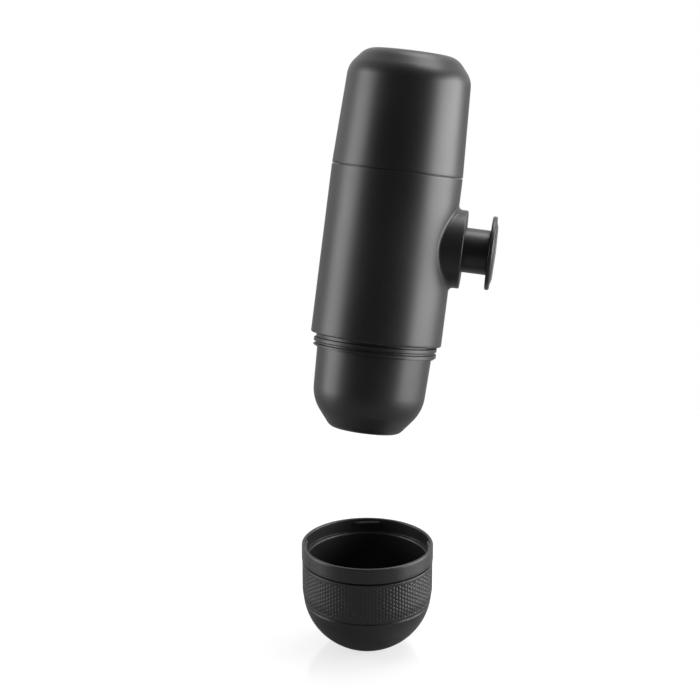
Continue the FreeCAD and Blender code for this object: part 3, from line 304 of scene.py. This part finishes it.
def boss_points():
    """The boss as rings about the pump's axis: over the barrel's bore from the inner window's edge, out
    through the boss's bore, over its mouth, down its wall and fillet, and over the tube to the outer
    window's edge. A ring's points lie at the turn of the window's own points, so that the first and last
    rings are the windows. The fillet is the path of a ball that rolls between the boss, a cylinder about
    the pump's axis, and the tube, a cylinder about the long axis."""
    along = np.arange(-half_patch, half_patch)
    side = np.full(PATCH_CELLS, half_patch)
    edge = np.concatenate([
        np.stack([along, -side], -1),
        np.stack([side, along], -1),
        np.stack([-along, side], -1),
        np.stack([-side, -along], -1),
    ]) * cell
    turn = np.arctan2(edge[:, 1], edge[:, 0])
    across, rise = np.cos(turn), np.sin(turn)
    ball_y = (BOSS_RADIUS + BOSS_FILLET) * across
    ball_z = (BOSS_RADIUS + BOSS_FILLET) * rise
    ball_x = np.sqrt((BARREL_RADIUS + BOSS_FILLET) ** 2 - ball_y**2)
    to_boss = np.stack([0 * turn, -across, -rise], -1)
    to_tube = -np.stack([ball_x, ball_y, 0 * turn], -1) / (BARREL_RADIUS + BOSS_FILLET)
    sweep = np.arccos(np.sum(to_boss * to_tube, -1))[:, None]
    ball = np.stack([ball_x, ball_y, ball_z], -1)
    fillet = []
    for t in np.linspace(0, 1, FILLET_RINGS):
        way = (np.sin((1 - t) * sweep) * to_boss + np.sin(t * sweep) * to_tube) / np.sin(sweep)
        fillet.append(ball + BOSS_FILLET * way)
    mouth = rounded([
        (BOSS_BORE, BOSS_REACH - MOUTH_INSIDE, 0),
        (BOSS_BORE, BOSS_REACH, 0.2),
        (BOSS_RADIUS, BOSS_REACH, BOSS_EDGE),
        (BOSS_RADIUS, BOSS_REACH - MOUTH_OUTSIDE, 0),
    ], 0.6)
    bore_turn = np.arcsin(BOSS_BORE * across / BARREL_BORE)
    rings = []
    for t in np.linspace(0, 1, BORE_RINGS):
        about = edge[:, 0] / BARREL_RADIUS * (1 - t) + bore_turn * t
        height = edge[:, 1] * (1 - t) + BOSS_BORE * rise * t
        rings.append(np.stack([BARREL_BORE * np.cos(about), BARREL_BORE * np.sin(about), height], -1))
    rings += [np.stack([x + 0 * turn, r * across, r * rise], -1) for r, x in mouth]
    wall_start, wall_end = rings[-1], fillet[0]
    rings += [wall_start + (wall_end - wall_start) * t for t in np.linspace(0, 1, WALL_RINGS)[1:-1]]
    rings += fillet
    start_turn = np.arcsin(fillet[-1][:, 1] / BARREL_RADIUS)
    end_turn = edge[:, 0] / BARREL_RADIUS
    start_z, end_z = fillet[-1][:, 2], edge[:, 1]
    for t in np.linspace(0, 1, SKIRT_RINGS)[1:]:
        about = start_turn + (end_turn - start_turn) * t
        height = start_z + (end_z - start_z) * t
        rings.append(np.stack([BARREL_RADIUS * np.cos(about), BARREL_RADIUS * np.sin(about), height], -1))
    rings = np.array(rings)
    rings[..., 2] += PUMP_HEIGHT
    return rings


tube, tube_faces = barrel_points()
boss = boss_points()
boss_faces = grid_faces(*boss.shape[:2], False)[:, ::-1] + tube.shape[0] * tube.shape[1]
barrel = piece_from("barrel_with_boss", np.concatenate([tube.reshape(-1, 3), boss.reshape(-1, 3)]),
                    np.concatenate([tube_faces, boss_faces]), MAKER)
barrel.data.materials.append(casing_plastic)
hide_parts("barrel_shell")
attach(barrel, "maker")

# GUIDE BUSH
# A ring of smoother black acetal pressed into the boss. The knob's stem slides in its bore, and the
# stem's travel lug goes in by the notch at the back and turns behind the lip.


def give_finish(node, finish):
    """Swaps the plain material of a CAD node for its finish."""
    slots = frame["nodes"][node].data.materials
    slots.clear()
    slots.append(finish)


bush_plastic = moulded_plastic("smooth_black_moulded_acetal", "#171718", "#1d1d1e", 0.36, 0.35, 0.006)
give_finish("guide_bush", bush_plastic)

# PUMP KNOB
# Spool-shaped push knob of the same smooth black plastic: a hollow stem that slides in the bush, and a
# broad disc with a rounded rim. It is moulded in one.

# PUMP turns the pump's own pieces, drawn upright about its axis, to where the pump points.
PUMP = (np.array([long_axis, -side_axis, pump_axis]), long_axis * PUMP_HEIGHT / 1000)
STEM_RADIUS = 9.7
STEM_BORE = 8.0
STEM_TAIL = 22.4
RING_GROOVE_START = 23.85
RING_GROOVE_END = 25.15
RING_GROOVE_DEPTH = 0.8
WEB_BACK = 40.3
WEB_FACE = 42.3
POCKET_RADIUS = 6.4
PIN_RADIUS = 3.08
DISC_BACK = 43.7
DISC_THICKNESS = 2.0
DISC_RADIUS = 16.0
DISC_EDGE = 0.7
CAP_SEAT = 13.65
CAP_SEAT_DEPTH = 1.0
disc_face = DISC_BACK + DISC_THICKNESS
knob_outline = rounded([
    (STEM_BORE, STEM_TAIL, 0),
    (STEM_RADIUS, STEM_TAIL, 0.2),
    (STEM_RADIUS, RING_GROOVE_START, 0),
    (STEM_RADIUS - RING_GROOVE_DEPTH, RING_GROOVE_START, 0.05),
    (STEM_RADIUS - RING_GROOVE_DEPTH, RING_GROOVE_END, 0.05),
    (STEM_RADIUS, RING_GROOVE_END, 0),
    (STEM_RADIUS, DISC_BACK, 0.6),
    (DISC_RADIUS, DISC_BACK, DISC_EDGE),
    (DISC_RADIUS, disc_face, DISC_EDGE),
    (CAP_SEAT, disc_face, 0.15),
    (CAP_SEAT, disc_face - CAP_SEAT_DEPTH, 0.05),
    (POCKET_RADIUS, disc_face - CAP_SEAT_DEPTH, 0.2),
    (POCKET_RADIUS, WEB_FACE, 0.2),
    (PIN_RADIUS, WEB_FACE, 0.05),
    (PIN_RADIUS, WEB_BACK, 0.05),
    (STEM_BORE, WEB_BACK, 0.5),
    (STEM_BORE, STEM_TAIL, 0),
], 0.5)[:-1]
knob_grid = turned(knob_outline)
knob = piece_from("pump_knob", knob_grid, grid_faces(*knob_grid.shape[:2], True), PUMP)
knob.data.materials.append(bush_plastic)
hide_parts("knob_body")
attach(knob, "knob")

# KNOB CAP
# A low-domed insert of polished black plastic, pressed into the seat in the disc. Its edge stands a
# little proud of the disc, which gives it a crisp bright line.
CAP_RADIUS = 13.6
CAP_EDGE_HEIGHT = 0.15
CAP_BEVEL = 2.0
CAP_BEVEL_HEIGHT = 0.75
CAP_BEVEL_ROUNDING = 6.0
CAP_HEIGHT = 1.1
cap_plastic = moulded_plastic("polished_black_plastic", "#101011", "#141415", 0.14, 0.6, 0.002)
cap = turned_piece("knob_cap_insert", [
    (0, disc_face - CAP_SEAT_DEPTH, 0),
    (CAP_RADIUS, disc_face - CAP_SEAT_DEPTH, 0.1),
    (CAP_RADIUS, disc_face + CAP_EDGE_HEIGHT, 0.25),
    (CAP_RADIUS - CAP_BEVEL, disc_face + CAP_BEVEL_HEIGHT, CAP_BEVEL_ROUNDING),
    (0, disc_face + CAP_HEIGHT, 0),
], PUMP)
cap.data.materials.append(cap_plastic)
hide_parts("knob_cap")
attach(cap, "knob")

# RETURN SPRING
# A coil of drawn stainless wire round the pump's rod, from the cylinder's gland to the web inside the
# knob. It is as bright and smooth as the drawing die leaves it, and it closes up as the knob goes in.
GLAND_FACE = 11.05
RETURN_LENGTH = 29.2
STEPS_PER_TURN = 48
WIRE_SIDES = 12


def wire_coil(name, radius, wire, turns, start, length, stand):
    """Coil spring along the piece's axis: the middle of the wire runs round the axis at the coil's
    radius and climbs, a little faster midway, but for the last half turn at each end, which lies flat. A
    circle of the wire's radius is carried along it, square to the way it runs."""
    along = np.linspace(0, 1, turns * STEPS_PER_TURN + 1)
    about = 2 * np.pi * turns * along
    lie = 0.5 / turns
    climb = np.clip((along - lie) / (1 - 2 * lie), 0, 1)
    climb = climb * 0.7 + 0.3 * (climb**2 * (3 - 2 * climb))
    height = start + wire + (length - 2 * wire) * climb
    middle = np.stack([radius * np.cos(about), radius * np.sin(about), height], -1)
    run = np.gradient(middle, axis=0)
    run /= np.linalg.norm(run, axis=1)[:, None]
    outward = np.stack([np.cos(about), np.sin(about), 0 * about], -1)
    upward = np.cross(run, outward)
    about_wire = np.linspace(0, 2 * np.pi, WIRE_SIDES, endpoint=False)[:, None]
    across_wire = np.cos(about_wire) * outward[:, None] + np.sin(about_wire) * upward[:, None]
    first_end, last_end = (np.repeat(end[:, None], WIRE_SIDES, 1) for end in (middle[:1], middle[-1:]))
    grid = np.concatenate([first_end, middle[:, None] + wire * across_wire, last_end])
    return piece_from(name, grid, grid_faces(*grid.shape[:2], False), stand)


def stainless_steel(name, roughness, line_mm):
    """Stainless steel, rolled, turned or drawn: fine parallel tool lines stretch its reflections."""
    material = bpy.data.materials.new(name)
    tree = empty_tree(material)
    place = add(tree, "ShaderNodeTexCoord").outputs["Object"]
    drawn = add(tree, "ShaderNodeMapping", {"Vector": place, "Scale": (1, 1, 12)})
    lines = add(tree, "ShaderNodeTexNoise", {"Vector": drawn.outputs["Vector"], "Scale": 1000 / line_mm / 12,
                                             "Detail": 3.0})
    gloss = add(tree, "ShaderNodeMapRange", {"Value": lines.outputs["Fac"], "From Min": 0.3, "From Max": 0.7,
                                             "To Min": roughness - 0.05, "To Max": roughness + 0.08})
    bump = add(tree, "ShaderNodeBump", {"Height": lines.outputs["Fac"], "Strength": 0.2,
                                        "Distance": 0.00001})
    surface = add(tree, "ShaderNodeBsdfPrincipled", {"Base Color": linear("#96969a"), "Metallic": 1.0,
                                                     "Roughness": gloss.outputs["Result"],
                                                     "Normal": bump.outputs["Normal"]})
    add(tree, "ShaderNodeOutputMaterial", {"Surface": surface.outputs["BSDF"]})
    return material


spring_wire = stainless_steel("drawn_stainless_wire", 0.28, 0.1)


def fit_spring(spring, node):
    """Stands the spring in for its node, in spring wire. It rests on its fixed end, on the maker's body, and gets
    a mesh of its own.
    """
    spring.data.materials.append(spring_wire)
    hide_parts(node)
    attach(spring, "maker")
    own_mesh(spring)


return_coil = wire_coil("return_spring_coil", 6.2, 0.65, 7, GLAND_FACE, RETURN_LENGTH, PUMP)
fit_spring(return_coil, "return_spring")

# VALVE SPRINGS
# Two light coils of thin stainless wire, one under each ball, which hold it up against its seat and
# close up as the ball leaves it.
VALVE_PLACE = -9.6
VALVES = (MAKER[0], pump_axis * VALVE_PLACE / 1000)
for valve, foot_height, spring_length in (("inlet", 16.85, 7.874), ("outlet", -17.95, 8.724)):
    coil = wire_coil(valve + "_spring_coil", 2.25, 0.25, 5, foot_height, spring_length, VALVES)
    fit_spring(coil, valve + "_spring")

# OUTLET HEAD
# The lower end of the capsule in satin black ABS: a collar that screws into the barrel, the neck whose
# two turns of thread take the cup, and a hollow dome with a flat end round the spout.
NECK_TOP = -37.0
NECK_RADIUS = 26.85
NECK_CORE = 26.0
NECK_BOTTOM = -42.5
DOME_LENGTH = 34.6
DOME_SIDE_LENGTH = 16.4
DOME_SLOPE = math.radians(41)
DOME_CORNER = 18.0
DOME_EDGE = 5.2
DOME_END_WIDER = 0.8
DOME_FLOOR_NARROWER = 1.3
DOME_RADIUS = 25.0
DOME_SHOULDER_RADIUS = 24.2
DOME_FLOOR = 3.0
COLLAR_RADIUS = 24.02
COLLAR_BORE = 20.42
COLLAR_TOP = -25.16
NOZZLE_HOLE = 2.65
THREAD_PITCH = 2.75
THREAD_WIDTH = 2.1
THREAD_START = 0.4
THREAD_CREST = 1.25
THREAD_RUN_IN = 0.04
GAP_OVER_THREAD = 0.05
GAP_UNDER_THREAD = 0.25
NECK_ROWS = 74
dome_end = NECK_BOTTOM - DOME_LENGTH
dome_corner = NECK_BOTTOM - DOME_SIDE_LENGTH - DOME_CORNER * math.tan(DOME_SLOPE / 2)
dome_flat = DOME_SHOULDER_RADIUS - (dome_corner - dome_end) * math.tan(DOME_SLOPE)
dome_outline = rounded([
    (NOZZLE_HOLE, dome_end + DOME_FLOOR, 0),
    (NOZZLE_HOLE, dome_end, 0.4),
    (dome_flat + DOME_END_WIDER, dome_end, DOME_EDGE),
    (DOME_SHOULDER_RADIUS, dome_corner, DOME_CORNER),
    (DOME_RADIUS, NECK_BOTTOM, 0),
])
neck_rows = np.linspace(NECK_BOTTOM, NECK_TOP, NECK_ROWS)
neck_outline = np.stack([np.full(len(neck_rows), NECK_CORE), neck_rows], -1)
collar_outline = rounded([
    (NECK_CORE, NECK_TOP, 0),
    (COLLAR_RADIUS, NECK_TOP, 0.1),
    (COLLAR_RADIUS, COLLAR_TOP, 0.3),
    (COLLAR_BORE, COLLAR_TOP, 0.3),
    (DOME_SHOULDER_RADIUS - DOME_FLOOR, dome_corner + INNER_SHIFT, DOME_CORNER - DOME_FLOOR),
    (dome_flat - DOME_FLOOR_NARROWER, dome_end + DOME_FLOOR, 0.4),
    (NOZZLE_HOLE, dome_end + DOME_FLOOR, 0),
])[1:-1]
head_grid = turned(np.concatenate([dome_outline, neck_outline, collar_outline]), 320)


def thread_height(turn, height):
    """Share of the thread's full height. The thread's middle sinks by one pitch for each turn back round
    the neck from its start. Its section is one less the fourth power of the distance from its middle, in
    half widths, raised by THREAD_CREST and cut off flat, so the crest has round shoulders. It tapers in
    where it starts, and ends above the groove over the dome."""
    wound = (THREAD_START - turn) / (2 * np.pi) % 1
    top_middle = NECK_TOP - THREAD_WIDTH / 2 - GAP_OVER_THREAD
    strands = []
    for lap in (0, 1, 2):
        off = (height - (top_middle - THREAD_PITCH * (wound + lap))) / (THREAD_WIDTH / 2)
        section = np.clip(THREAD_CREST * (1 - off**4), 0, 1)
        strands.append(section * (np.clip(wound / THREAD_RUN_IN, 0, 1) if lap == 0 else 1))
    return np.maximum.reduce(strands) * np.clip((height - NECK_BOTTOM - GAP_UNDER_THREAD) / 0.15, 0, 1)


neck = slice(len(dome_outline), len(dome_outline) + len(neck_outline))
rise = (NECK_RADIUS - NECK_CORE) * thread_height(turn_of(head_grid[neck]), head_grid[neck, :, 2])
head_grid[neck, :, :2] *= (1 + rise / NECK_CORE)[..., None]
head = piece_from("outlet_head_moulding", head_grid, grid_faces(*head_grid.shape[:2], True), MAKER)
head.data.materials.append(casing_plastic)
head.data.set_sharp_from_angle(angle=math.radians(50))
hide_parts("outlet_head")
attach(head, "outlet")

# CUP
# A small round-bottomed cup of satin black polypropylene: a smooth rim band, a groove over the knurled
# grip and a bowl on a ring foot. Inside its mouth four short thread lugs and a step take the neck.

# The cup stands level, so CUP only moves its pieces, drawn with the rim at zero height, to their place.
cup_low, cup_high = (np.array(corner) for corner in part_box("cup_shell"))
CUP = (np.eye(3), np.array([(cup_low[0] + cup_high[0]) / 2, (cup_low[1] + cup_high[1]) / 2, cup_high[2]]))
CUP_RADIUS = 28.75
CUP_WALL = 2.0
RIM_BAND = 6.9
GRIP_LENGTH = 19.6
GRIP_RADIUS = 28.55
GRIP_SEAT = GRIP_RADIUS - 1.2
BOWL_RADIUS = 27.8
BOWL_CENTRE = 21.35
FOOT_RADIUS = 11.0
FOOT_RING = 3.0
FOOT_HOLLOW = 0.6
FLOOR_THICKNESS = 2.5
MOUTH_RADIUS = 27.35
MOUTH_DEPTH = 6.0
BOWL_FULLNESS = 0.45
BOWL_POINTS = 60
STEP_DROP = 0.6
RIM_EDGE = 0.5
RIM_LIP = 1.0
LEDGE_RISE = 0.4
LUG_COUNT = 4
LUG_SHARE = 0.3
LUG_PROUD = 0.85
LUG_TOP = 2.1
LUG_DROP = 1.5
LUG_HALF_WIDTH = 0.85
LUG_FLANK = 0.3
LUG_END = 0.04
cup_plastic = moulded_plastic("satin_black_moulded_polypropylene", "#161617", "#1c1c1d", 0.38, 0.35, 0.008)


def bowl_arc(radius, first_height, last_height, count, fullness=0.0):
    """Points of the bowl's sphere between two heights, evenly turned about its centre. Fullness widens
    it, by more the further a point is on its way from the first height, as one less the square of the
    way that is left."""
    angles = np.arcsin((np.array([first_height, last_height]) + BOWL_CENTRE) / radius)
    about = np.linspace(*angles, count)
    wider = fullness * (1 - np.linspace(1, 0, count) ** 2)
    return np.stack([radius * np.cos(about) + wider, radius * np.sin(about) - BOWL_CENTRE], -1)


grip_top = -RIM_BAND
grip_bottom = grip_top - GRIP_LENGTH
foot = -BOWL_CENTRE - math.sqrt(BOWL_RADIUS**2 - FOOT_RADIUS**2)
inner_bowl = BOWL_RADIUS - CUP_WALL
floor_face = foot + FLOOR_THICKNESS
foot_outline = rounded([
    (0, foot + FOOT_HOLLOW, 0),
    (FOOT_RADIUS - FOOT_RING, foot + FOOT_HOLLOW, 0.3),
    (FOOT_RADIUS - FOOT_RING + 0.5, foot, 0.2),
    (FOOT_RADIUS - 0.3, foot, 0.2),
    (FOOT_RADIUS, foot + 0.02, 0),
])
bowl_outline = bowl_arc(BOWL_RADIUS, foot, grip_bottom - STEP_DROP, BOWL_POINTS, BOWL_FULLNESS)
rim_outline = rounded([
    (*bowl_outline[-1], 0),
    (bowl_outline[-1, 0] + 0.1, grip_bottom, 0.35),
    (GRIP_SEAT, grip_bottom, 0.1),
    (GRIP_SEAT, grip_top, 0.05),
    (CUP_RADIUS, grip_top, 0.35),
    (CUP_RADIUS, 0, RIM_EDGE),
    (MOUTH_RADIUS, 0, RIM_EDGE),
    (MOUTH_RADIUS, -RIM_LIP, 0),
])
wall_rows = np.linspace(-RIM_LIP, -MOUTH_DEPTH + LEDGE_RISE, 36)[1:-1]
mouth_outline = np.stack([np.full(len(wall_rows), MOUTH_RADIUS), wall_rows], -1)
ledge_outline = rounded([
    (MOUTH_RADIUS, -MOUTH_DEPTH + LEDGE_RISE, 0),
    (MOUTH_RADIUS, -MOUTH_DEPTH, 0.15),
    (inner_bowl, -MOUTH_DEPTH, 0.7),
    (inner_bowl, -BOWL_CENTRE, 0),
])
cup_outline = np.concatenate([
    foot_outline,
    bowl_outline[1:-1],
    rim_outline,
    mouth_outline,
    ledge_outline,
    bowl_arc(inner_bowl, -BOWL_CENTRE, floor_face, BOWL_POINTS)[1:],
    [(0, floor_face)],
])
cup_grid = turned(cup_outline, 288)
wall_start = len(foot_outline) + len(bowl_outline) - 2 + len(rim_outline)
wall = slice(wall_start, wall_start + len(mouth_outline))


def lug_height(turn, height):
    """Share of a lug's full height. A lug takes up LUG_SHARE of its part of the turn about that part's
    middle and sinks as it goes round, with rounded flanks and ends."""
    along = (turn / (2 * np.pi) * LUG_COUNT + 0.5) % 1 - 0.5
    middle = -LUG_TOP - LUG_DROP * along
    section = np.clip((LUG_HALF_WIDTH - np.abs(height - middle)) / LUG_FLANK, 0, 1)
    ends = np.clip((LUG_SHARE / 2 - np.abs(along)) / LUG_END, 0, 1)
    return section * ends


rise = LUG_PROUD * lug_height(turn_of(cup_grid[wall]), cup_grid[wall, :, 2])
cup_grid[wall, :, :2] *= (1 - rise / MOUTH_RADIUS)[..., None]
cup = piece_from("cup_moulding", cup_grid, grid_faces(*cup_grid.shape[:2], False), CUP)
cup.data.materials.append(cup_plastic)
cup.data.set_sharp_from_angle(angle=math.radians(55))
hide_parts("cup_shell")
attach(cup, "cup")

# CUP GRIP
# A band of harder black plastic round the cup. Its knurl is two sets of slanting grooves and an upright
# set, which leave staggered rows of small studs, with a plain margin above and below.
KNURL_HEIGHT = 1.86
KNURL_DEPTH = 0.34
KNURL_WAVES = 60
KNURL_STEPS = 12
MARGIN_ABOVE = 2.1
MARGIN_BELOW = 1.7
MARGIN_FADE = 0.3
GROOVE_ABOVE = 0.75
GROOVE_BELOW = 0.4
TAPER_START = 14.5
TAPER = 0.75
TAPER_ROUNDING = 20.0
GRIP_THICKNESS = 1.15
grip_back = GRIP_RADIUS - GRIP_THICKNESS
grip_edge = grip_top - GROOVE_ABOVE
grip_foot = grip_bottom + GROOVE_BELOW
knurl_outline = rounded([
    (grip_back, grip_edge, 0),
    (grip_back, grip_foot, 0.1),
    (GRIP_RADIUS - TAPER, grip_foot, 0.3),
    (GRIP_RADIUS, grip_top - TAPER_START, TAPER_ROUNDING),
    (GRIP_RADIUS, grip_edge, 0.3),
    (grip_back, grip_edge, 0),
], KNURL_HEIGHT / 8)[:-1]
grip_grid = turned(knurl_outline, KNURL_WAVES * KNURL_STEPS)


def knurl_depth(turn, height):
    """How far the surface lies under the studs' tops. A groove is one less a sine's size: two slanting
    ones of the turn in waves plus or minus the height in studs, and an upright one of twice the turn.
    All three add up, so the surface is deepest where they cross."""
    along = turn / (2 * np.pi) * KNURL_WAVES
    up = height / KNURL_HEIGHT
    rising, falling = (1 - np.abs(np.sin(np.pi * (along + way * up))) for way in (1, -1))
    upright = 1 - np.abs(np.sin(2 * np.pi * along))
    return KNURL_DEPTH * (0.15 * np.maximum(rising, falling) + 0.35 * upright + 0.5 * rising * falling)


height = grip_grid[..., 2]
radius = np.hypot(grip_grid[..., 0], grip_grid[..., 1])
knurled = np.clip((height - grip_bottom - MARGIN_BELOW) / MARGIN_FADE, 0, 1)
knurled *= np.clip((grip_top - MARGIN_ABOVE - height) / MARGIN_FADE, 0, 1)
knurled *= radius > GRIP_RADIUS - TAPER - 0.1
grip_grid[..., :2] *= (1 - knurled * knurl_depth(turn_of(grip_grid), height) / radius)[..., None]
grip = piece_from("cup_grip_band", grip_grid, grid_faces(*grip_grid.shape[:2], True), CUP)
grip.data.set_sharp_from_angle(angle=math.radians(25))
grip_plastic = moulded_plastic("black_knurled_plastic", "#161617", "#1c1c1d", 0.38, 0.35, 0.006)
grip.data.materials.append(grip_plastic)
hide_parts("cup_grip")
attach(grip, "cup")

# PARTS INSIDE
# Glass-filled nylon for the pump block, deck and brew head, silicone for the seals and the vent, and
# stainless steel for the sheet, bar and spring parts. They show when the tank or the outlet head is off.


def silicone(name):
    """Moulded silicone rubber: dull, a little waxy, with faint dust and flow marks."""
    material = bpy.data.materials.new(name)
    tree = empty_tree(material)
    place = add(tree, "ShaderNodeTexCoord").outputs["Object"]
    cloud = add(tree, "ShaderNodeTexNoise", {"Vector": place, "Scale": 1000 / 6, "Detail": 4.0})
    colour = add(tree, "ShaderNodeValToRGB", {"Fac": cloud.outputs["Fac"]})
    low, high = colour.color_ramp.elements
    low.color, high.color = linear("#4a4a4b"), linear("#5c5c5d")
    surface = add(tree, "ShaderNodeBsdfPrincipled", {"Base Color": colour.outputs["Color"],
                                                     "Roughness": 0.55, "IOR": 1.42, "Sheen Weight": 0.1})
    add(tree, "ShaderNodeOutputMaterial", {"Surface": surface.outputs["BSDF"]})
    return material


inner_finishes = {
    "inner_plastic": moulded_plastic("glass_filled_black_nylon", "#2c2c2e", "#343436", 0.5, 0.6, 0.02),
    "silicone": silicone("moulded_grey_silicone"),
    "steel_sheet": stainless_steel("rolled_stainless_sheet", 0.3, 0.3),
    "steel_bar": stainless_steel("turned_stainless_bar", 0.25, 0.15),
    "spring_steel": spring_wire,
}
for part in frame["record"]["subparts"]:
    finish = inner_finishes.get(part["material_slot"])
    if finish:
        give_finish(part["node"], finish)

# FLOOR AND LIGHT
# A glossy white table top in a white-walled room that is dark behind the camera. Two soft boxes left and
# right draw the long highlights on the plastic, and a weaker one above draws those on the shoulder and
# the rims. Away from the cup the table top fades to plain white for the camera.
FADE_START = 0.16
FADE_END = 0.32
TABLE_SIDE = 2.5
TABLE_FRONT = -1.2
TABLE_BACK = 2.2
floor_height = float(cup_low[2])
floor_material = bpy.data.materials.new("glossy_white_laminate")
tree = empty_tree(floor_material)
seen = add(tree, "ShaderNodeLightPath")
paper = add(tree, "ShaderNodeBsdfDiffuse", {"Color": linear("#8c8c8c")})
lift = add(tree, "ShaderNodeEmission", {"Color": (1, 1, 1, 1), "Strength": 0.78})
lit = add(tree, "ShaderNodeAddShader", {0: paper.outputs["BSDF"], 1: lift.outputs["Emission"]})
gloss = add(tree, "ShaderNodeBsdfGlossy", {"Color": (1, 1, 1, 1), "Roughness": 0.12})
sheen = add(tree, "ShaderNodeFresnel", {"IOR": 1.4})
shine = add(tree, "ShaderNodeMixShader", {"Fac": sheen.outputs["Fac"], 1: lit.outputs["Shader"],
                                          2: gloss.outputs["BSDF"]})
near_cup = add(tree, "ShaderNodeMapping", {"Vector": add(tree, "ShaderNodeTexCoord").outputs["Object"],
                                           "Location": (0, 0, -floor_height)})
distance = add(tree, "ShaderNodeVectorMath", {0: near_cup.outputs["Vector"]}, operation="LENGTH")
fade = add(tree, "ShaderNodeMapRange", {"Value": distance.outputs["Value"], "From Min": FADE_START,
                                        "From Max": FADE_END})
sweep = add(tree, "ShaderNodeEmission", {"Color": (1, 1, 1, 1), "Strength": 1.0})
white_out = add(tree, "ShaderNodeMixShader", {"Fac": fade.outputs["Result"], 1: shine.outputs["Shader"],
                                              2: sweep.outputs["Emission"]})
glazed = add(tree, "ShaderNodeMixShader", {"Fac": sheen.outputs["Fac"], 1: paper.outputs["BSDF"],
                                           2: gloss.outputs["BSDF"]})
shown = add(tree, "ShaderNodeMixShader", {"Fac": seen.outputs["Is Camera Ray"], 1: glazed.outputs["Shader"],
                                          2: white_out.outputs["Shader"]})
add(tree, "ShaderNodeOutputMaterial", {"Surface": shown.outputs["Shader"]})
floor_mesh = bpy.data.meshes.new("table_top")
floor_mesh.from_pydata([
    (-TABLE_SIDE, TABLE_FRONT, floor_height),
    (TABLE_SIDE, TABLE_FRONT, floor_height),
    (TABLE_SIDE, TABLE_BACK, floor_height),
    (-TABLE_SIDE, TABLE_BACK, floor_height),
], [], [(0, 1, 2, 3)])
floor_mesh.materials.append(floor_material)
floor = placed("table_top", floor_mesh)

# The room lights the object by direction: dark towards the camera, white at the far side.
world = bpy.data.worlds.new("white_room")
bpy.context.scene.world = world
tree = empty_tree(world)
path = add(tree, "ShaderNodeLightPath")
direction = add(tree, "ShaderNodeTexCoord").outputs["Generated"]
towards = add(tree, "ShaderNodeSeparateXYZ", {"Vector": direction})
depth = add(tree, "ShaderNodeMapRange", {"Value": towards.outputs["Y"], "From Min": -0.5, "From Max": 0.6,
                                         "To Min": 0.08, "To Max": 1.0})
dim = add(tree, "ShaderNodeBackground", {"Color": (1, 1, 1, 1), "Strength": depth.outputs["Result"]})
white = add(tree, "ShaderNodeBackground", {"Color": (1, 1, 1, 1), "Strength": 1.0})
room = add(tree, "ShaderNodeMixShader", {"Fac": path.outputs["Is Camera Ray"], 1: dim.outputs["Background"],
                                         2: white.outputs["Background"]})
add(tree, "ShaderNodeOutputWorld", {"Surface": room.outputs["Shader"]})


def soft_box(name, place, aim, width, tall, power):
    """Area lamp at a place, turned to face the aim point."""
    lamp = bpy.data.lights.new(name, "AREA")
    lamp.shape = "RECTANGLE"
    lamp.size, lamp.size_y, lamp.energy = width, tall, power
    holder = placed(name, lamp)
    holder.location = place
    holder.rotation_euler = (Vector(aim) - Vector(place)).to_track_quat("-Z", "Y").to_euler()


soft_box("soft_box_left", (-0.8, -0.03, 0.08), (0, 0, 0), 0.5, 0.7, 6.2)
soft_box("soft_box_right", (0.8, -0.08, 0.03), (0, 0, 0), 0.8, 0.56, 13.2)
soft_box("soft_box_above", (0.35, 0.25, 0.85), (0, 0, -0.02), 0.8, 0.5, 7.2)

# CAMERA
# A long lens that looks down a little, as far off as gives the photograph's perspective.
IMAGE_WIDTH = 700
FOCAL_PIXELS = 2200
CAMERA_PLACE = (-0.015875, -0.91784, 0.26372)
CAMERA_PITCH = math.radians(18.5)
camera_data = bpy.data.cameras.new("camera")
camera_data.sensor_width = 36.0
camera_data.lens = FOCAL_PIXELS * camera_data.sensor_width / IMAGE_WIDTH
camera_data.clip_end = 30
camera = placed("camera", camera_data)
camera.location = CAMERA_PLACE
camera.rotation_euler = (math.pi / 2 - CAMERA_PITCH, 0, 0)
bpy.context.scene.camera = camera
bpy.context.scene.view_settings.view_transform = "Standard"
